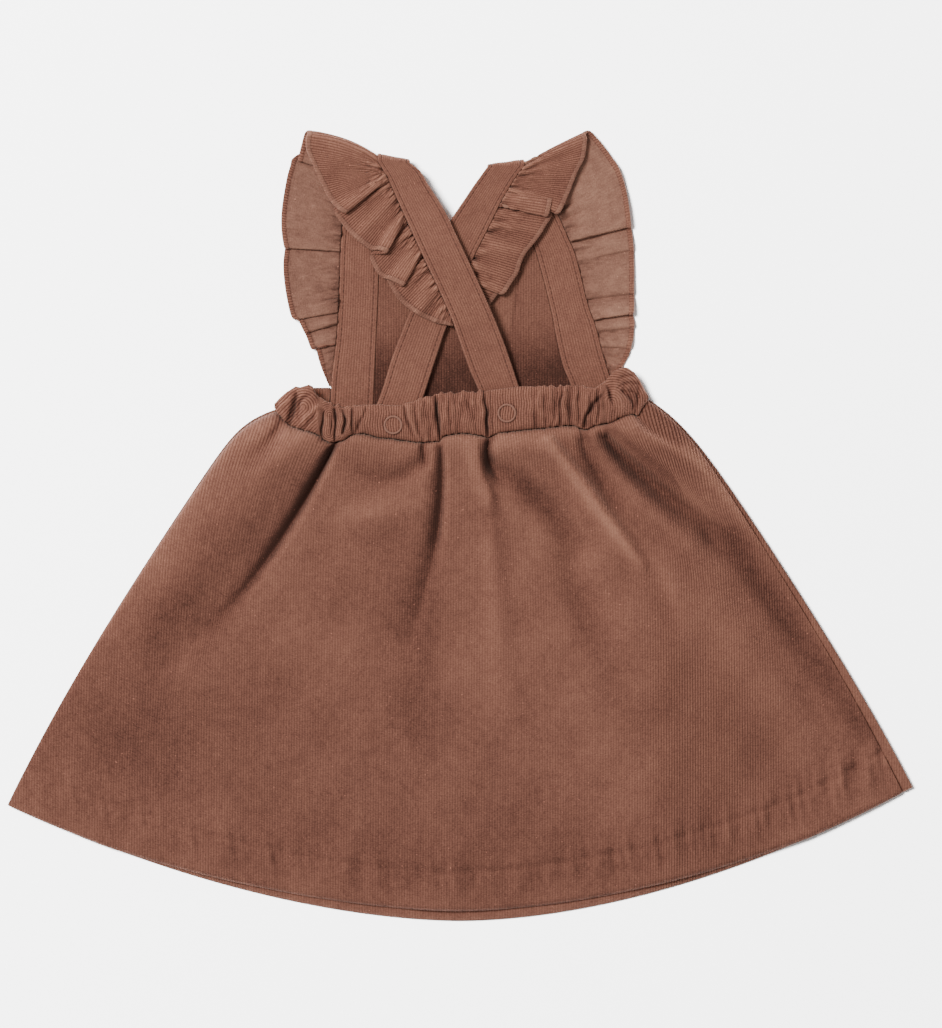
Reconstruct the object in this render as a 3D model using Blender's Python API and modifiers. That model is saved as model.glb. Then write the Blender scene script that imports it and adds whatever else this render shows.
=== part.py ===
# Pinafore dress in fine corduroy, laid flat on a surface with its back up.
# The front panel, front waistband, bib and front straps lie underneath.
# The gathered back panel, the elastic waistband and the crossed straps lie on them.
# X runs across the dress, Y from the hem to the shoulders, Z up. Sizes below are millimetres.

import bpy
import numpy as np

MM = 0.001

# cloth and layers
CLOTH = 1.6            # one layer of corduroy
RUFFLE_CLOTH = 1.3
BIB_THICK = 2.6        # two layers
STRAP_THICK = 3.0      # two layers, turned edges
BAND_THICK = 3.0       # front waistband
GAP = 0.3              # between pieces at a seam

# skirt
HEM_HALF = 239.5       # half of the hem's width
HEM_LOW = -209.4       # the lowest point of the front hem
HEM_RISE = 66.15       # from there up to the side seams
HEM_POWER = 1.8        # how round the hem is
HEM_TILT = 4.75        # the right corner lies higher than the left one
BACK_HEM_LIFT = 5.5    # the back hem ends above the front one
BACK_HEM_HALF = 185.0  # and meets it this far from the middle
HEM_END_SLOPE = 0.53   # how steeply the hem reaches the right corner
SIDE_STRIP = 5.3       # front panel wrapped past the right side seam, at the hem
SIDE_STRIP_TOP = 0.9   # and at the waist
SEAM_HEIGHT = 9.0      # top of the back panel at the waist seam
PUFF_HEIGHT = 17.0     # just below the gathers
HEM_HEIGHT = 3.7
PUFF_REACH = 75.0      # how fast the puff settles towards the hem
PUFF_START = 4.5
EDGE_HEIGHT = 3.5      # both panels at the side seam
EDGE_ROUND = (22.0, 34.0)
FLOOR_EASE = 4.0       # how sharply a deep fold stops on the front panel
HEM_DEEP = 21.0        # from the hem up to its stitch line
HEM_GROOVE = 0.5
HEM_ROWS = [0.895, 0.913, 0.931, 0.965, 1.0]
WAIST_MIDDLE = 1.25    # middle and half width of both panels at the waist
WAIST_HALF = 98.75
FRONT_WAIST_HALF = 99.25

# waist: x, lower edge and upper edge of the front waistband
FRONT_BAND = [
    (-97.5, 61.5, 62.0),
    (-90.0, 56.0, 66.0),
    (-84.0, 52.8, 71.5),
    (-77.0, 49.5, 73.0),
    (-69.7, 47.2, 73.0),
    (-69.4, 47.1, 59.0),
    (-60.0, 44.0, 58.0),
    (-30.0, 42.0, 57.5),
    (0.0, 41.5, 58.5),
    (30.0, 44.0, 61.0),
    (60.0, 48.5, 65.0),
    (80.0, 54.5, 68.0),
    (92.0, 61.0, 69.0),
    (100.0, 66.5, 67.2),
]

# x and y of the scalloped seam between the back waistband and the back panel
WAIST_SEAM = [
    (-97.5, 62.0), (-94.5, 56.5), (-89.0, 52.0), (-75.5, 48.0), (-66.0, 43.5), (-58.5, 47.5),
    (-45.5, 47.0), (-27.0, 44.5), (-20.5, 43.5), (-10.5, 44.5), (-9.0, 47.0), (0.0, 48.0),
    (9.5, 47.5), (14.5, 46.0), (17.0, 47.0), (26.5, 49.5), (44.5, 50.5), (56.0, 52.0),
    (63.5, 51.5), (69.0, 48.5), (72.5, 52.0), (82.0, 56.0), (93.0, 58.0), (98.5, 64.5),
    (100.0, 66.5),
]

# x and y of the back waistband's upper edge, with the roll at each side
WAIST_TOP = [
    (-97.5, 64.0), (-94.0, 69.0), (-87.0, 73.2), (-79.5, 74.6), (-76.5, 71.5), (-74.5, 66.5),
    (-67.0, 64.0), (-61.0, 62.6), (-47.0, 63.5), (-30.0, 64.0), (-20.5, 67.0), (-10.5, 70.0),
    (6.5, 71.0), (17.0, 71.5), (30.5, 73.5), (45.0, 74.0), (58.5, 74.5), (71.0, 73.0),
    (76.5, 74.4), (79.5, 77.0), (84.0, 82.6), (88.5, 83.8), (94.5, 78.0), (100.0, 68.5),
]

BAND_BOTTOM = 6.7      # underside of the back waistband, over the strap ends
BAND_END_BOTTOM = 3.4  # and at its two turned ends
BAND_PUFF = 7.6        # its height
BAND_END_PUFF = 3.0
BAND_REST = 1.6        # the back panel lies this much higher where it covers the front waistband
BAND_REST_Y = 36.0
BAND_REST_X = 88.0
BAND_ENDS = (-97.3, 99.8)
FRONT_BAND_ENDS = (-97.0, 99.4)
FRONT_BAND_STEP = (-69.7, -69.4)   # its upper edge steps down here, beside the left strap
BAND_COLUMNS = 140
BAND_RING = 10

# one row for each gather of the back waistband: x at the lower edge, x at the upper edge, depth, width
GATHERS = [
    (-93.8, -91.7, 1.4, 1.5), (-89.0, -86.4, 1.8, 1.5), (-84.8, -81.6, 1.6, 1.6),
    (-80.0, -76.3, 1.8, 1.6), (-75.3, -71.6, 1.6, 1.5), (-71.0, -68.9, 2.4, 1.3),
    (-67.3, -65.2, 2.6, 1.2), (-63.6, -62.0, 2.6, 1.2), (-60.4, -58.3, 2.2, 1.2),
    (-55.1, -55.1, 0.9, 1.5), (-28.6, -30.7, 1.3, 1.3), (-22.3, -26.5, 1.8, 1.4),
    (-19.1, -20.7, 1.0, 1.4), (-15.9, -15.4, 1.0, 1.5), (-9.8, -11.7, 3.2, 1.3),
    (-4.2, -5.3, 0.9, 1.5), (1.1, 1.6, 0.9, 1.6), (6.4, 5.3, 1.1, 1.5), (10.6, 8.5, 1.5, 1.3),
    (14.6, 14.3, 3.0, 1.3), (17.8, 16.4, 1.1, 1.3), (40.3, 40.8, 1.4, 1.4), (45.1, 44.0, 1.5, 1.4),
    (48.8, 50.9, 1.5, 1.4), (53.0, 54.1, 2.4, 1.3), (58.3, 57.2, 1.4, 1.4), (62.0, 62.0, 1.4, 1.4),
    (66.8, 65.2, 2.1, 1.3), (69.6, 69.9, 2.4, 1.2), (73.1, 74.2, 2.2, 1.3), (77.4, 78.4, 1.9, 1.4),
    (81.6, 80.6, 1.3, 1.5), (85.9, 84.2, 1.4, 1.5), (90.1, 88.0, 1.4, 1.5), (94.3, 91.5, 1.5, 1.5),
]

# one row for each fold of the back panel: its start at the waist, a point half way and its end,
# its height at those three (below zero for a valley), its width on the -X and on the +X side,
# and how many times wider it is at its end
SKIRT_FOLDS = {
    "left_crease": (-61.0, 46.4, -92.8, -2.4, -153.7, -87.2, -10.5, -8.0, -1.5, 14.0, 2.4, 2.2),
    "left_lip": (-54.0, 44.0, -86.0, -5.0, -148.0, -88.0, 1.5, 2.4, 0.8, 4.0, 12.0, 1.6),
    "left_rim": (-90.0, 45.3, -124.6, 2.9, -169.6, -66.0, 3.6, 3.2, 1.0, 9.0, 11.0, 1.5),
    "left_nick": (-95.5, 57.5, -99.5, 51.0, -105.0, 43.0, -3.5, -2.5, -0.3, 2.5, 3.0, 1.4),
    "centre_crease": (-9.8, 45.3, -12.2, -5.0, -29.0, -66.0, -8.5, -6.0, -1.4, 12.0, 2.4, 1.9),
    "centre_lip": (-5.0, 44.0, -7.0, -8.0, -23.0, -66.0, 1.5, 1.6, 0.4, 3.0, 12.0, 1.5),
    "centre_notch": (14.2, 47.4, 13.0, 37.4, 17.0, 24.0, -8.0, -5.5, -1.0, 2.4, 3.4, 1.5),
    "centre_valley": (24.0, 34.0, 55.6, -7.7, 95.4, -97.8, -5.0, -4.6, -1.6, 12.0, 8.0, 1.9),
    "right_ridge": (46.6, 47.4, 77.4, 0.3, 121.9, -60.7, 4.6, 5.2, 1.4, 4.5, 9.0, 1.9),
    "right_tuck": (56.0, 50.0, 62.0, 40.0, 74.2, 24.0, -6.5, -4.5, -0.8, 4.0, 4.0, 1.5),
    "right_valley": (68.9, 51.0, 135.0, -5.0, 212.0, -113.7, -11.0, -8.0, -2.4, 6.0, 6.0, 2.0),
    "right_rim": (92.0, 55.0, 127.2, 29.4, 153.7, -7.7, 2.6, 3.6, 0.6, 8.0, 5.0, 1.3),
    "hem_left": (-108.0, -90.0, -121.0, -140.0, -130.0, -186.0, 0.0, 1.2, 1.6, 20.0, 20.0, 1.0),
    "hem_middle": (-12.0, -110.0, -8.0, -150.0, -6.0, -202.0, 0.0, 1.3, 1.6, 24.0, 22.0, 1.0),
    "hem_right": (92.0, -105.0, 104.0, -145.0, 114.0, -188.0, 0.0, 1.2, 1.6, 18.0, 20.0, 1.0),
}
SKIRT_COLUMNS = 68
SKIRT_ROWS = 17
FRONT_COLUMNS = 36
FRONT_ROWS = 9

# straps: outer edge x, y, inner edge x, y, and height of the middle of the strap.
# The first row of each front stretch starts on the front waistband.
LEFT_STRAP_FRONT = [
    (-69.0, 61.0, -46.0, 61.0, 1.5),
    (-67.8, 80.0, -45.2, 80.0, 1.5),
    (-65.3, 101.0, -44.3, 101.0, 1.5),
    (-64.0, 125.0, -43.2, 125.0, 1.5),
    (-63.0, 151.0, -42.5, 149.0, 1.5),
    (-60.5, 168.0, -41.0, 162.0, 1.5),
    (-53.5, 182.5, -36.0, 174.0, 1.5),
    (-45.0, 190.5, -27.5, 188.5, 1.5),
]
LEFT_STRAP_BACK = [
    (-44.0, 191.0, -25.5, 188.5, 7.6),
    (-38.3, 183.5, -20.5, 187.5, 7.8),
    (-33.3, 172.5, -15.1, 180.2, 8.6),
    (-26.2, 156.7, -7.7, 165.6, 9.8),
    (-19.1, 141.1, -0.5, 150.3, 10.5),
    (-12.0, 126.2, 6.9, 134.6, 10.5),
    (-4.8, 110.0, 14.6, 117.7, 9.8),
    (0.5, 95.1, 21.2, 102.0, 8.4),
    (5.0, 82.5, 25.7, 89.8, 6.9),
    (9.5, 72.1, 30.5, 75.5, 5.5),
    (13.8, 61.2, 34.5, 64.4, 4.8),
    (18.0, 50.5, 37.6, 54.0, 4.8),
]
RIGHT_STRAP_FRONT = [
    (81.5, 70.0, 60.5, 68.0, 1.5),
    (79.4, 78.7, 58.3, 75.0, 1.5),
    (75.7, 90.9, 54.1, 85.6, 1.5),
    (71.9, 105.7, 50.6, 101.0, 1.5),
    (68.2, 115.8, 48.8, 111.0, 1.5),
    (64.7, 129.6, 45.3, 125.9, 1.5),
    (61.0, 143.9, 41.6, 139.7, 1.5),
    (57.8, 151.3, 39.1, 147.6, 1.5),
    (51.9, 164.6, 32.9, 159.3, 1.5),
    (44.5, 177.8, 24.4, 172.5, 1.5),
    (34.5, 190.5, 15.0, 188.2, 1.5),
]
RIGHT_STRAP_BACK = [
    (34.3, 190.4, 14.2, 188.4, 5.5),
    (29.2, 183.6, 8.5, 184.0, 5.5),
    (24.2, 175.2, 4.5, 180.5, 5.4),
    (20.7, 168.8, -0.5, 174.0, 5.3),
    (13.5, 154.0, -6.0, 161.0, 5.2),
    (5.7, 138.3, -12.2, 146.3, 5.2),
    (-1.1, 120.6, -20.1, 127.5, 5.2),
    (-8.2, 101.9, -28.1, 109.2, 5.2),
    (-10.8, 94.1, -31.3, 101.0, 5.2),
    (-14.6, 82.6, -35.8, 89.3, 5.1),
    (-19.1, 68.5, -40.8, 72.9, 4.8),
    (-23.8, 55.0, -45.4, 60.2, 4.8),
    (-26.5, 49.0, -47.5, 52.5, 4.8),
]
STRAP_TURN = 5         # sections round the shoulder fold
BIB_TOP = (155.5, 151.5)

# ruffles, from the front waistband over the shoulder to the back: y of the seam on the strap's
# outer edge, then x, y and height of the hem. Two rows close together are a pleat's step.
LEFT_RUFFLE_FRONT = [
    (73.8, -70.8, 74.4, 1.0), (92.0, -76.0, 90.8, 0.9), (94.5, -79.0, 93.5, 3.6),
    (103.0, -82.2, 100.0, 0.9), (105.5, -83.2, 102.5, 3.4), (111.0, -85.3, 107.8, 0.9),
    (113.5, -88.0, 109.5, 4.0), (130.0, -93.0, 131.0, 2.0), (144.0, -93.5, 145.2, 0.9),
    (147.0, -93.0, 147.6, 4.0), (159.5, -95.0, 167.0, 2.6), (170.0, -92.4, 184.0, 1.6),
    (175.0, -90.2, 192.2, 0.9), (178.0, -86.5, 195.0, 2.4), (184.0, -83.6, 202.0, 2.0),
    (190.5, -81.6, 206.4, 1.8),
]
LEFT_RUFFLE_BACK = [
    (191.0, -81.2, 206.4, 6.2), (187.5, -77.6, 191.0, 6.2), (183.0, -70.0, 175.3, 6.6),
    (181.0, -62.2, 165.8, 9.0), (179.0, -61.0, 162.5, 6.2), (172.5, -55.6, 154.6, 6.0),
    (164.0, -47.8, 147.2, 6.8), (161.0, -41.3, 144.8, 9.6), (157.5, -43.4, 140.8, 5.6),
    (151.0, -43.8, 135.5, 5.8), (146.0, -39.2, 129.8, 7.0), (142.5, -30.8, 126.8, 10.0),
    (139.0, -31.8, 122.6, 6.4), (131.5, -28.6, 115.8, 7.8), (126.5, -24.4, 112.2, 10.2),
    (122.5, -20.8, 109.6, 8.6), (116.5, -12.8, 106.4, 8.8), (111.5, -5.8, 105.4, 8.8),
]
RIGHT_RUFFLE_FRONT = [
    (82.0, 84.5, 84.8, 1.0), (88.0, 89.2, 91.0, 0.9), (93.0, 90.5, 95.3, 3.4),
    (104.0, 91.8, 103.5, 1.8), (108.5, 92.0, 110.5, 0.9), (111.0, 92.2, 113.0, 4.0),
    (119.5, 91.5, 123.5, 0.9), (122.0, 91.4, 126.0, 3.4), (136.0, 91.0, 141.0, 1.2),
    (141.0, 90.6, 150.0, 2.6), (147.5, 89.8, 158.0, 0.9), (151.0, 89.2, 161.5, 4.0),
    (160.0, 88.0, 171.0, 2.8), (172.0, 84.8, 183.5, 2.0), (181.0, 77.6, 198.5, 1.8),
    (190.5, 70.2, 206.6, 1.6),
]
RIGHT_RUFFLE_BACK = [
    (190.4, 67.8, 206.8, 5.8), (186.0, 65.6, 197.2, 5.9), (182.5, 62.2, 186.2, 6.2),
    (178.5, 57.8, 172.8, 6.8), (175.0, 52.4, 164.8, 8.6), (173.0, 49.6, 163.2, 5.6),
    (165.0, 44.4, 156.8, 5.4), (156.0, 38.4, 149.3, 5.0), (150.0, 33.8, 143.8, 6.6),
    (144.0, 30.4, 133.8, 5.0), (138.0, 23.7, 122.8, 6.0), (131.0, 16.8, 116.6, 6.4),
    (123.0, 7.6, 111.0, 5.6), (115.0, -2.0, 105.2, 5.4),
]
RUFFLE_ACROSS = 6

# ring snaps through the back waistband
SNAPS = {"snap_ring_left": (-35.2, 53.0), "snap_ring_right": (24.7, 59.2)}
SNAP_RADIUS = 4.3
SNAP_WIRE = 0.45

COLOURS = {
    "skirt_front": (0.215, 0.094, 0.062),
    "skirt_back": (0.242, 0.105, 0.070),
    "waistband_front": (0.215, 0.094, 0.062),
    "waistband_back": (0.258, 0.118, 0.080),
    "bib": (0.190, 0.084, 0.055),
    "strap_left": (0.250, 0.115, 0.078),
    "strap_right": (0.245, 0.112, 0.076),
    "ruffle_left": (0.285, 0.145, 0.105),
    "ruffle_right": (0.290, 0.148, 0.108),
    "snap_ring_left": (0.300, 0.160, 0.115),
    "snap_ring_right": (0.300, 0.160, 0.115),
}


def clear_scene():
    for item in list(bpy.data.objects):
        bpy.data.objects.remove(item, do_unlink=True)


def new_collection(name):
    collection = bpy.data.collections.new(name)
    bpy.context.scene.collection.children.link(collection)
    return collection


def cloth_material(name, roughness=0.95):
    material = bpy.data.materials.new(name + "_cloth")
    material.use_nodes = True
    shader = material.node_tree.nodes["Principled BSDF"]
    shader.inputs["Base Color"].default_value = (*COLOURS[name], 1.0)
    shader.inputs["Roughness"].default_value = roughness
    shader.inputs["Metallic"].default_value = 0.0
    return material


def add_mesh(name, points, faces, collection):
    mesh = bpy.data.meshes.new(name)
    mesh.from_pydata((np.asarray(points) * MM).tolist(), [], faces)
    mesh.validate()
    mesh.shade_smooth()
    mesh.set_sharp_from_angle(angle=np.radians(50.0))
    thing = bpy.data.objects.new(name, mesh)
    collection.objects.link(thing)
    mesh.materials.append(cloth_material(name))
    return thing


def grid_faces(rows, columns, start=0, flip=False):
    faces = []
    for i in range(rows - 1):
        for j in range(columns - 1):
            a = start + i * columns + j
            quad = (a, a + 1, a + columns + 1, a + columns)
            faces.append(quad[::-1] if flip else quad)
    return faces


def grid_rim(rows, columns):
    # the border of a grid, once round in order
    top = [j for j in range(columns)]
    right = [i * columns + columns - 1 for i in range(1, rows)]
    bottom = [(rows - 1) * columns + j for j in range(columns - 2, -1, -1)]
    left = [i * columns for i in range(rows - 2, 0, -1)]
    return top + right + bottom + left


def closed_sheet(name, upper, lower, collection):
    # a wall between two grids of the same size, joined round the border
    rows, columns = upper.shape[:2]
    count = rows * columns
    points = np.concatenate([upper.reshape(-1, 3), lower.reshape(-1, 3)])
    across = upper[0, -1] - upper[0, 0]
    along = upper[-1, 0] - upper[0, 0]
    facing_up = np.cross(across, along)[2] > 0
    faces = grid_faces(rows, columns, 0, flip=not facing_up)
    faces += grid_faces(rows, columns, count, flip=facing_up)
    rim = grid_rim(rows, columns)
    for a, b in zip(rim, rim[1:] + rim[:1]):
        wall = (a, a + count, b + count, b)
        faces.append(wall if facing_up else wall[::-1])
    return add_mesh(name, points, faces, collection)


def shell(name, surface, thickness, offset, collection):
    # an open surface that faces up, given its thickness by Solidify
    rows, columns = surface.shape[:2]
    across = surface[0, -1] - surface[0, 0]
    along = surface[-1, 0] - surface[0, 0]
    facing_up = np.cross(across, along)[2] > 0
    faces = grid_faces(rows, columns, 0, flip=not facing_up)
    thing = add_mesh(name, surface.reshape(-1, 3), faces, collection)
    wall = thing.modifiers.new("wall", "SOLIDIFY")
    wall.thickness = thickness * MM
    wall.offset = offset
    return thing


def along_table(table, fractions):
    # smooth curve through the rows of a table, at fractions 0 to 1 of its length
    rows = np.asarray(table, float)
    steps = np.linalg.norm(np.diff(rows[:, :2], axis=0), axis=1)
    place = np.concatenate([[0.0], np.cumsum(steps)])
    place /= place[-1]
    padded = np.concatenate([[2 * rows[0] - rows[1]], rows, [2 * rows[-1] - rows[-2]]])
    index = np.clip(np.searchsorted(place, fractions, side="right") - 1, 0, len(rows) - 2)
    t = ((fractions - place[index]) / (place[index + 1] - place[index]))[:, None]
    p0, p1, p2, p3 = padded[index], padded[index + 1], padded[index + 2], padded[index + 3]
    bend = 2 * p0 - 5 * p1 + 4 * p2 - p3
    return p1 + 0.5 * t * ((p2 - p0) + t * (bend + t * (3 * (p1 - p2) + p3 - p0)))


def read_table(table, x, column):
    rows = np.asarray(table, float)
    return np.interp(x, rows[:, 0], rows[:, column])


def smooth_step(value):
    t = np.clip(value, 0.0, 1.0)
    return t * t * (3.0 - 2.0 * t)


# skirt

def front_hem(x):
    u = x / HEM_HALF
    return HEM_LOW + HEM_RISE * np.abs(u) ** HEM_POWER + HEM_TILT * u * np.abs(u)


def back_hem(x):
    lift = BACK_HEM_LIFT * np.clip(1.0 - (x / BACK_HEM_HALF) ** 2, 0.0, 1.0)
    return front_hem(x) + lift


def side_bulge(t, side):
    # how far a side seam lies outside the straight line from waist to hem
    size = np.where(side < 0, 14.2, 11.0)
    start = np.where(side < 0, 0.03, 0.06)
    return size * (1.0 - np.exp(-t / start)) * (1.0 - t ** 3)


def side_strip(t):
    # how far the front panel is wrapped past the right side seam
    return np.maximum(SIDE_STRIP_TOP, SIDE_STRIP * t ** 0.8)


def panel_plan(u, t, waist_x, waist_y, hem_y, inset=0.0):
    # plan of a panel: u runs -1 to 1 across it, t from 0 at the waist to 1 at the hem
    hem_x = HEM_HALF * u
    x = (1.0 - t) * waist_x + t * hem_x
    x = x + np.sign(u) * np.abs(u) ** 3 * side_bulge(t, u)
    y = (1.0 - t) * waist_y + t * hem_y(hem_x)
    right = np.clip(u, 0.0, 1.0) ** 6 * inset
    return x - right, y - right * HEM_END_SLOPE * t


def fold_relief(x, y, fold):
    # height of one fold: a soft ridge along a curve through three points, unlike on its two sides
    x0, y0, x1, y1, x2, y2, h0, h1, h2, west, east, spread = fold
    s = np.linspace(0.0, 1.0, 49)
    cx = 2 * x1 - 0.5 * (x0 + x2)
    cy = 2 * y1 - 0.5 * (y0 + y2)
    px = (1 - s) ** 2 * x0 + 2 * s * (1 - s) * cx + s ** 2 * x2
    py = (1 - s) ** 2 * y0 + 2 * s * (1 - s) * cy + s ** 2 * y2
    dx = x[..., None] - px
    dy = y[..., None] - py
    near = np.argmin(dx ** 2 + dy ** 2, axis=-1)
    at = s[near]
    tx = np.gradient(px)[near]
    ty = np.gradient(py)[near]
    rx = x - px[near]
    ry = y - py[near]
    distance = np.hypot(rx, ry)
    east_side = (tx * ry - ty * rx) > 0
    width = np.where(east_side, east, west) * (1.0 + (spread - 1.0) * at)
    height = np.interp(at, [0.0, 0.5, 1.0], [h0, h1, h2])
    return height * np.exp(-(distance / width) ** 2)


def back_panel_height(x, y, u, t, below_seam, above_hem):
    rest = HEM_HEIGHT + (PUFF_HEIGHT - HEM_HEIGHT) * np.exp(-below_seam / PUFF_REACH)
    rise = 1.0 - np.exp(-below_seam / PUFF_START)
    relief = sum(fold_relief(x, y, fold) for fold in SKIRT_FOLDS.values())
    height = SEAM_HEIGHT + (rest + relief - SEAM_HEIGHT) * rise
    height = height - HEM_GROOVE * np.exp(-((above_hem - HEM_DEEP) / 2.0) ** 2)
    edge = np.where(u < 0, EDGE_ROUND[0], EDGE_ROUND[1])
    from_side = (1.0 - np.abs(u)) * (100.0 + 140.0 * t)
    e = np.clip(from_side / edge, 0.0, 1.0)
    height = EDGE_HEIGHT + (height - EDGE_HEIGHT) * np.sqrt(1.0 - (1.0 - e) ** 2)
    over_band = smooth_step((y - BAND_REST_Y) / 5.0) * smooth_step((BAND_REST_X - np.abs(x)) / 8.0)
    lowest = EDGE_HEIGHT + BAND_REST * over_band
    return lowest + np.logaddexp(0.0, (height - lowest) * FLOOR_EASE) / FLOOR_EASE


def skirt_rows():
    # close together under the gathers, then even, with three rows at the hem's stitch line
    even = np.linspace(0.0, 1.0, SKIRT_ROWS) ** 1.45
    rows = even[even < HEM_ROWS[0] - 0.01]
    return np.concatenate([rows, HEM_ROWS])


def make_skirt(collection):
    u, t = np.meshgrid(np.linspace(-1.0, 1.0, SKIRT_COLUMNS), skirt_rows())
    waist_x = WAIST_MIDDLE + WAIST_HALF * u
    seam = np.min([read_table(WAIST_SEAM, waist_x + step, 1) for step in (-1.2, 0.0, 1.2)], axis=0)
    seam = seam - 1.5 * GAP
    x, y = panel_plan(u, t, waist_x, seam, back_hem, side_strip(t))
    length = seam - back_hem(HEM_HALF * u)
    z = back_panel_height(x, y, u, t, t * length, (1.0 - t) * length)
    shell("skirt_back", np.stack([x, y, z], axis=-1), CLOTH, -1.0, collection)

    # the front panel lies flat; its last two columns stand up as the strip past the side seam
    u, t = np.meshgrid(np.linspace(-1.0, 1.0, FRONT_COLUMNS), np.linspace(0.0, 1.0, FRONT_ROWS))
    waist_x = WAIST_MIDDLE + FRONT_WAIST_HALF * u
    waist_y = read_table(FRONT_BAND, waist_x, 1) - GAP
    x, y = panel_plan(u, t, waist_x, waist_y, front_hem)
    inset = side_strip(t[:, :1]) - np.array([[GAP, 1.5 * GAP]])
    strip_x = x[:, -1:] - inset
    strip_y = y[:, -1:] - inset * HEM_END_SLOPE * t[:, :1]
    x = np.concatenate([x[:, :-1], strip_x, x[:, -1:]], axis=1)
    y = np.concatenate([y[:, :-1], strip_y, y[:, -1:]], axis=1)
    z = np.full_like(x, CLOTH)
    z[:, -2:] = CLOTH + (EDGE_HEIGHT - CLOTH) * smooth_step(t[:, :1] * 3.0)
    upper = np.stack([x, y, z], axis=-1)
    lower = np.stack([x, y, np.zeros_like(z)], axis=-1)
    closed_sheet("skirt_front", upper, lower, collection)


# waistband

def gather_relief(x, across):
    # depth of the gathers at x, where across runs from 0 at the seam to 1 at the upper edge
    depth = np.zeros_like(x)
    for low_x, high_x, deep, width in GATHERS:
        line = low_x + (high_x - low_x) * across
        depth = depth + deep * np.exp(-((x - line) / width) ** 2)
    return depth


def band_section(x):
    # middle, half width, underside and height of the back waistband at x
    low = read_table(WAIST_SEAM, x, 1)
    high = read_table(WAIST_TOP, x, 1)
    end = smooth_step((x + 98.0) / 28.0) * smooth_step((100.5 - x) / 28.0)
    bottom = BAND_END_BOTTOM + (BAND_BOTTOM - BAND_END_BOTTOM) * end
    puff = BAND_END_PUFF + (BAND_PUFF - BAND_END_PUFF) * np.sqrt(end)
    return 0.5 * (low + high), 0.5 * (high - low), bottom, puff


def band_top(x, y):
    # height of the back waistband's upper side, away from the gathers
    middle, half, bottom, puff = band_section(x)
    off = np.clip(np.abs(y - middle) / half, 0.0, 1.0) ** 1.25
    return bottom + puff * (0.5 + 0.5 * (1.0 - off ** 2) ** 0.35)


def make_back_band(collection):
    x = np.linspace(*BAND_ENDS, BAND_COLUMNS)
    angle = np.arange(BAND_RING) * 2.0 * np.pi / BAND_RING
    column, turn = np.meshgrid(x, angle, indexing="ij")
    middle, half, bottom, puff = band_section(column)
    cosine = np.sign(np.cos(turn)) * np.abs(np.cos(turn)) ** 0.8
    sine = np.sign(np.sin(turn)) * np.abs(np.sin(turn)) ** 0.7
    across = 0.5 + 0.5 * cosine
    relief = gather_relief(column, across)
    edge_pull = 0.45 * np.clip(cosine, 0.0, 1.0) * relief
    y = middle + half * cosine - edge_pull
    z = bottom + puff * (0.5 + 0.5 * sine) - relief * np.clip(sine, 0.0, 1.0)
    points = np.stack([column, y, z], axis=-1).reshape(-1, 3)
    faces = []
    for i in range(BAND_COLUMNS - 1):
        for j in range(BAND_RING):
            k = (j + 1) % BAND_RING
            a = i * BAND_RING
            faces.append((a + k, a + BAND_RING + k, a + BAND_RING + j, a + j))
    last = (BAND_COLUMNS - 1) * BAND_RING
    faces.append(tuple(reversed(range(BAND_RING))))
    faces.append(tuple(last + j for j in range(BAND_RING)))
    add_mesh("waistband_back", points, faces, collection)


def make_front_band(collection):
    x = np.union1d(np.linspace(*FRONT_BAND_ENDS, FRONT_COLUMNS), FRONT_BAND_STEP)
    low = read_table(FRONT_BAND, x, 1)
    high = read_table(FRONT_BAND, x, 2)
    across = np.array([0.0, 0.12, 0.88, 1.0])[:, None]
    y = low + (high - low) * across
    rounding = np.array([0.6, 0.0, 0.0, 0.6])[:, None]
    thick = BAND_THICK * smooth_step((high - low) / 6.0 + 0.4)
    z = np.broadcast_to(thick - rounding, y.shape)
    grid_x = np.broadcast_to(x, y.shape)
    upper = np.stack([grid_x, y, z], axis=-1)
    lower = np.stack([grid_x, y, np.zeros_like(y)], axis=-1)
    closed_sheet("waistband_front", upper, lower, collection)


# straps and bib

def turn_over(front, back, outward, steps):
    # half circle from a point on the front stretch up to the one above it on the back stretch
    angle = np.linspace(0.0, np.pi, steps + 2)[1:-1, None]
    middle = 0.5 * (front + back)
    arm = front - middle
    reach = np.linalg.norm(arm)
    return middle + arm * np.cos(angle) + outward * reach * np.sin(angle)


def strap_edges(front, back, front_count=18, back_count=26):
    # outer and inner edge of a strap, through the front stretch, the shoulder fold and the back
    a = along_table(front, np.linspace(0.0, 1.0, front_count))
    b = along_table(back, np.linspace(0.0, 1.0, back_count))
    a[0, 1] = read_table(FRONT_BAND, a[0, 0], 2) + GAP
    a[0, 3] = read_table(FRONT_BAND, a[0, 2], 2) + GAP
    line = a[-1, 2:4] - a[-1, 0:2]
    outward = np.array([-line[1], line[0], 0.0]) / np.hypot(*line)
    outward = outward * np.sign(outward[1])
    edges = []
    for pick in ((0, 1, 4), (2, 3, 4)):
        turn = turn_over(a[-1, pick], b[0, pick], outward, STRAP_TURN)
        edges.append(np.concatenate([a[:, pick], turn, b[:, pick]]))
    return edges, front_count, front_count + STRAP_TURN


def make_strap(name, front, back, collection):
    (outer, inner), _, _ = strap_edges(front, back)
    middle = 0.5 * (outer + inner)
    surface = np.stack([outer, middle, inner], axis=1)
    strap = shell(name, surface, STRAP_THICK, 0.0, collection)
    edge = strap.modifiers.new("edge", "BEVEL")
    edge.width = 0.7 * MM
    edge.segments = 1
    edge.limit_method = "ANGLE"
    edge.angle_limit = np.radians(65.0)
    return strap


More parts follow.
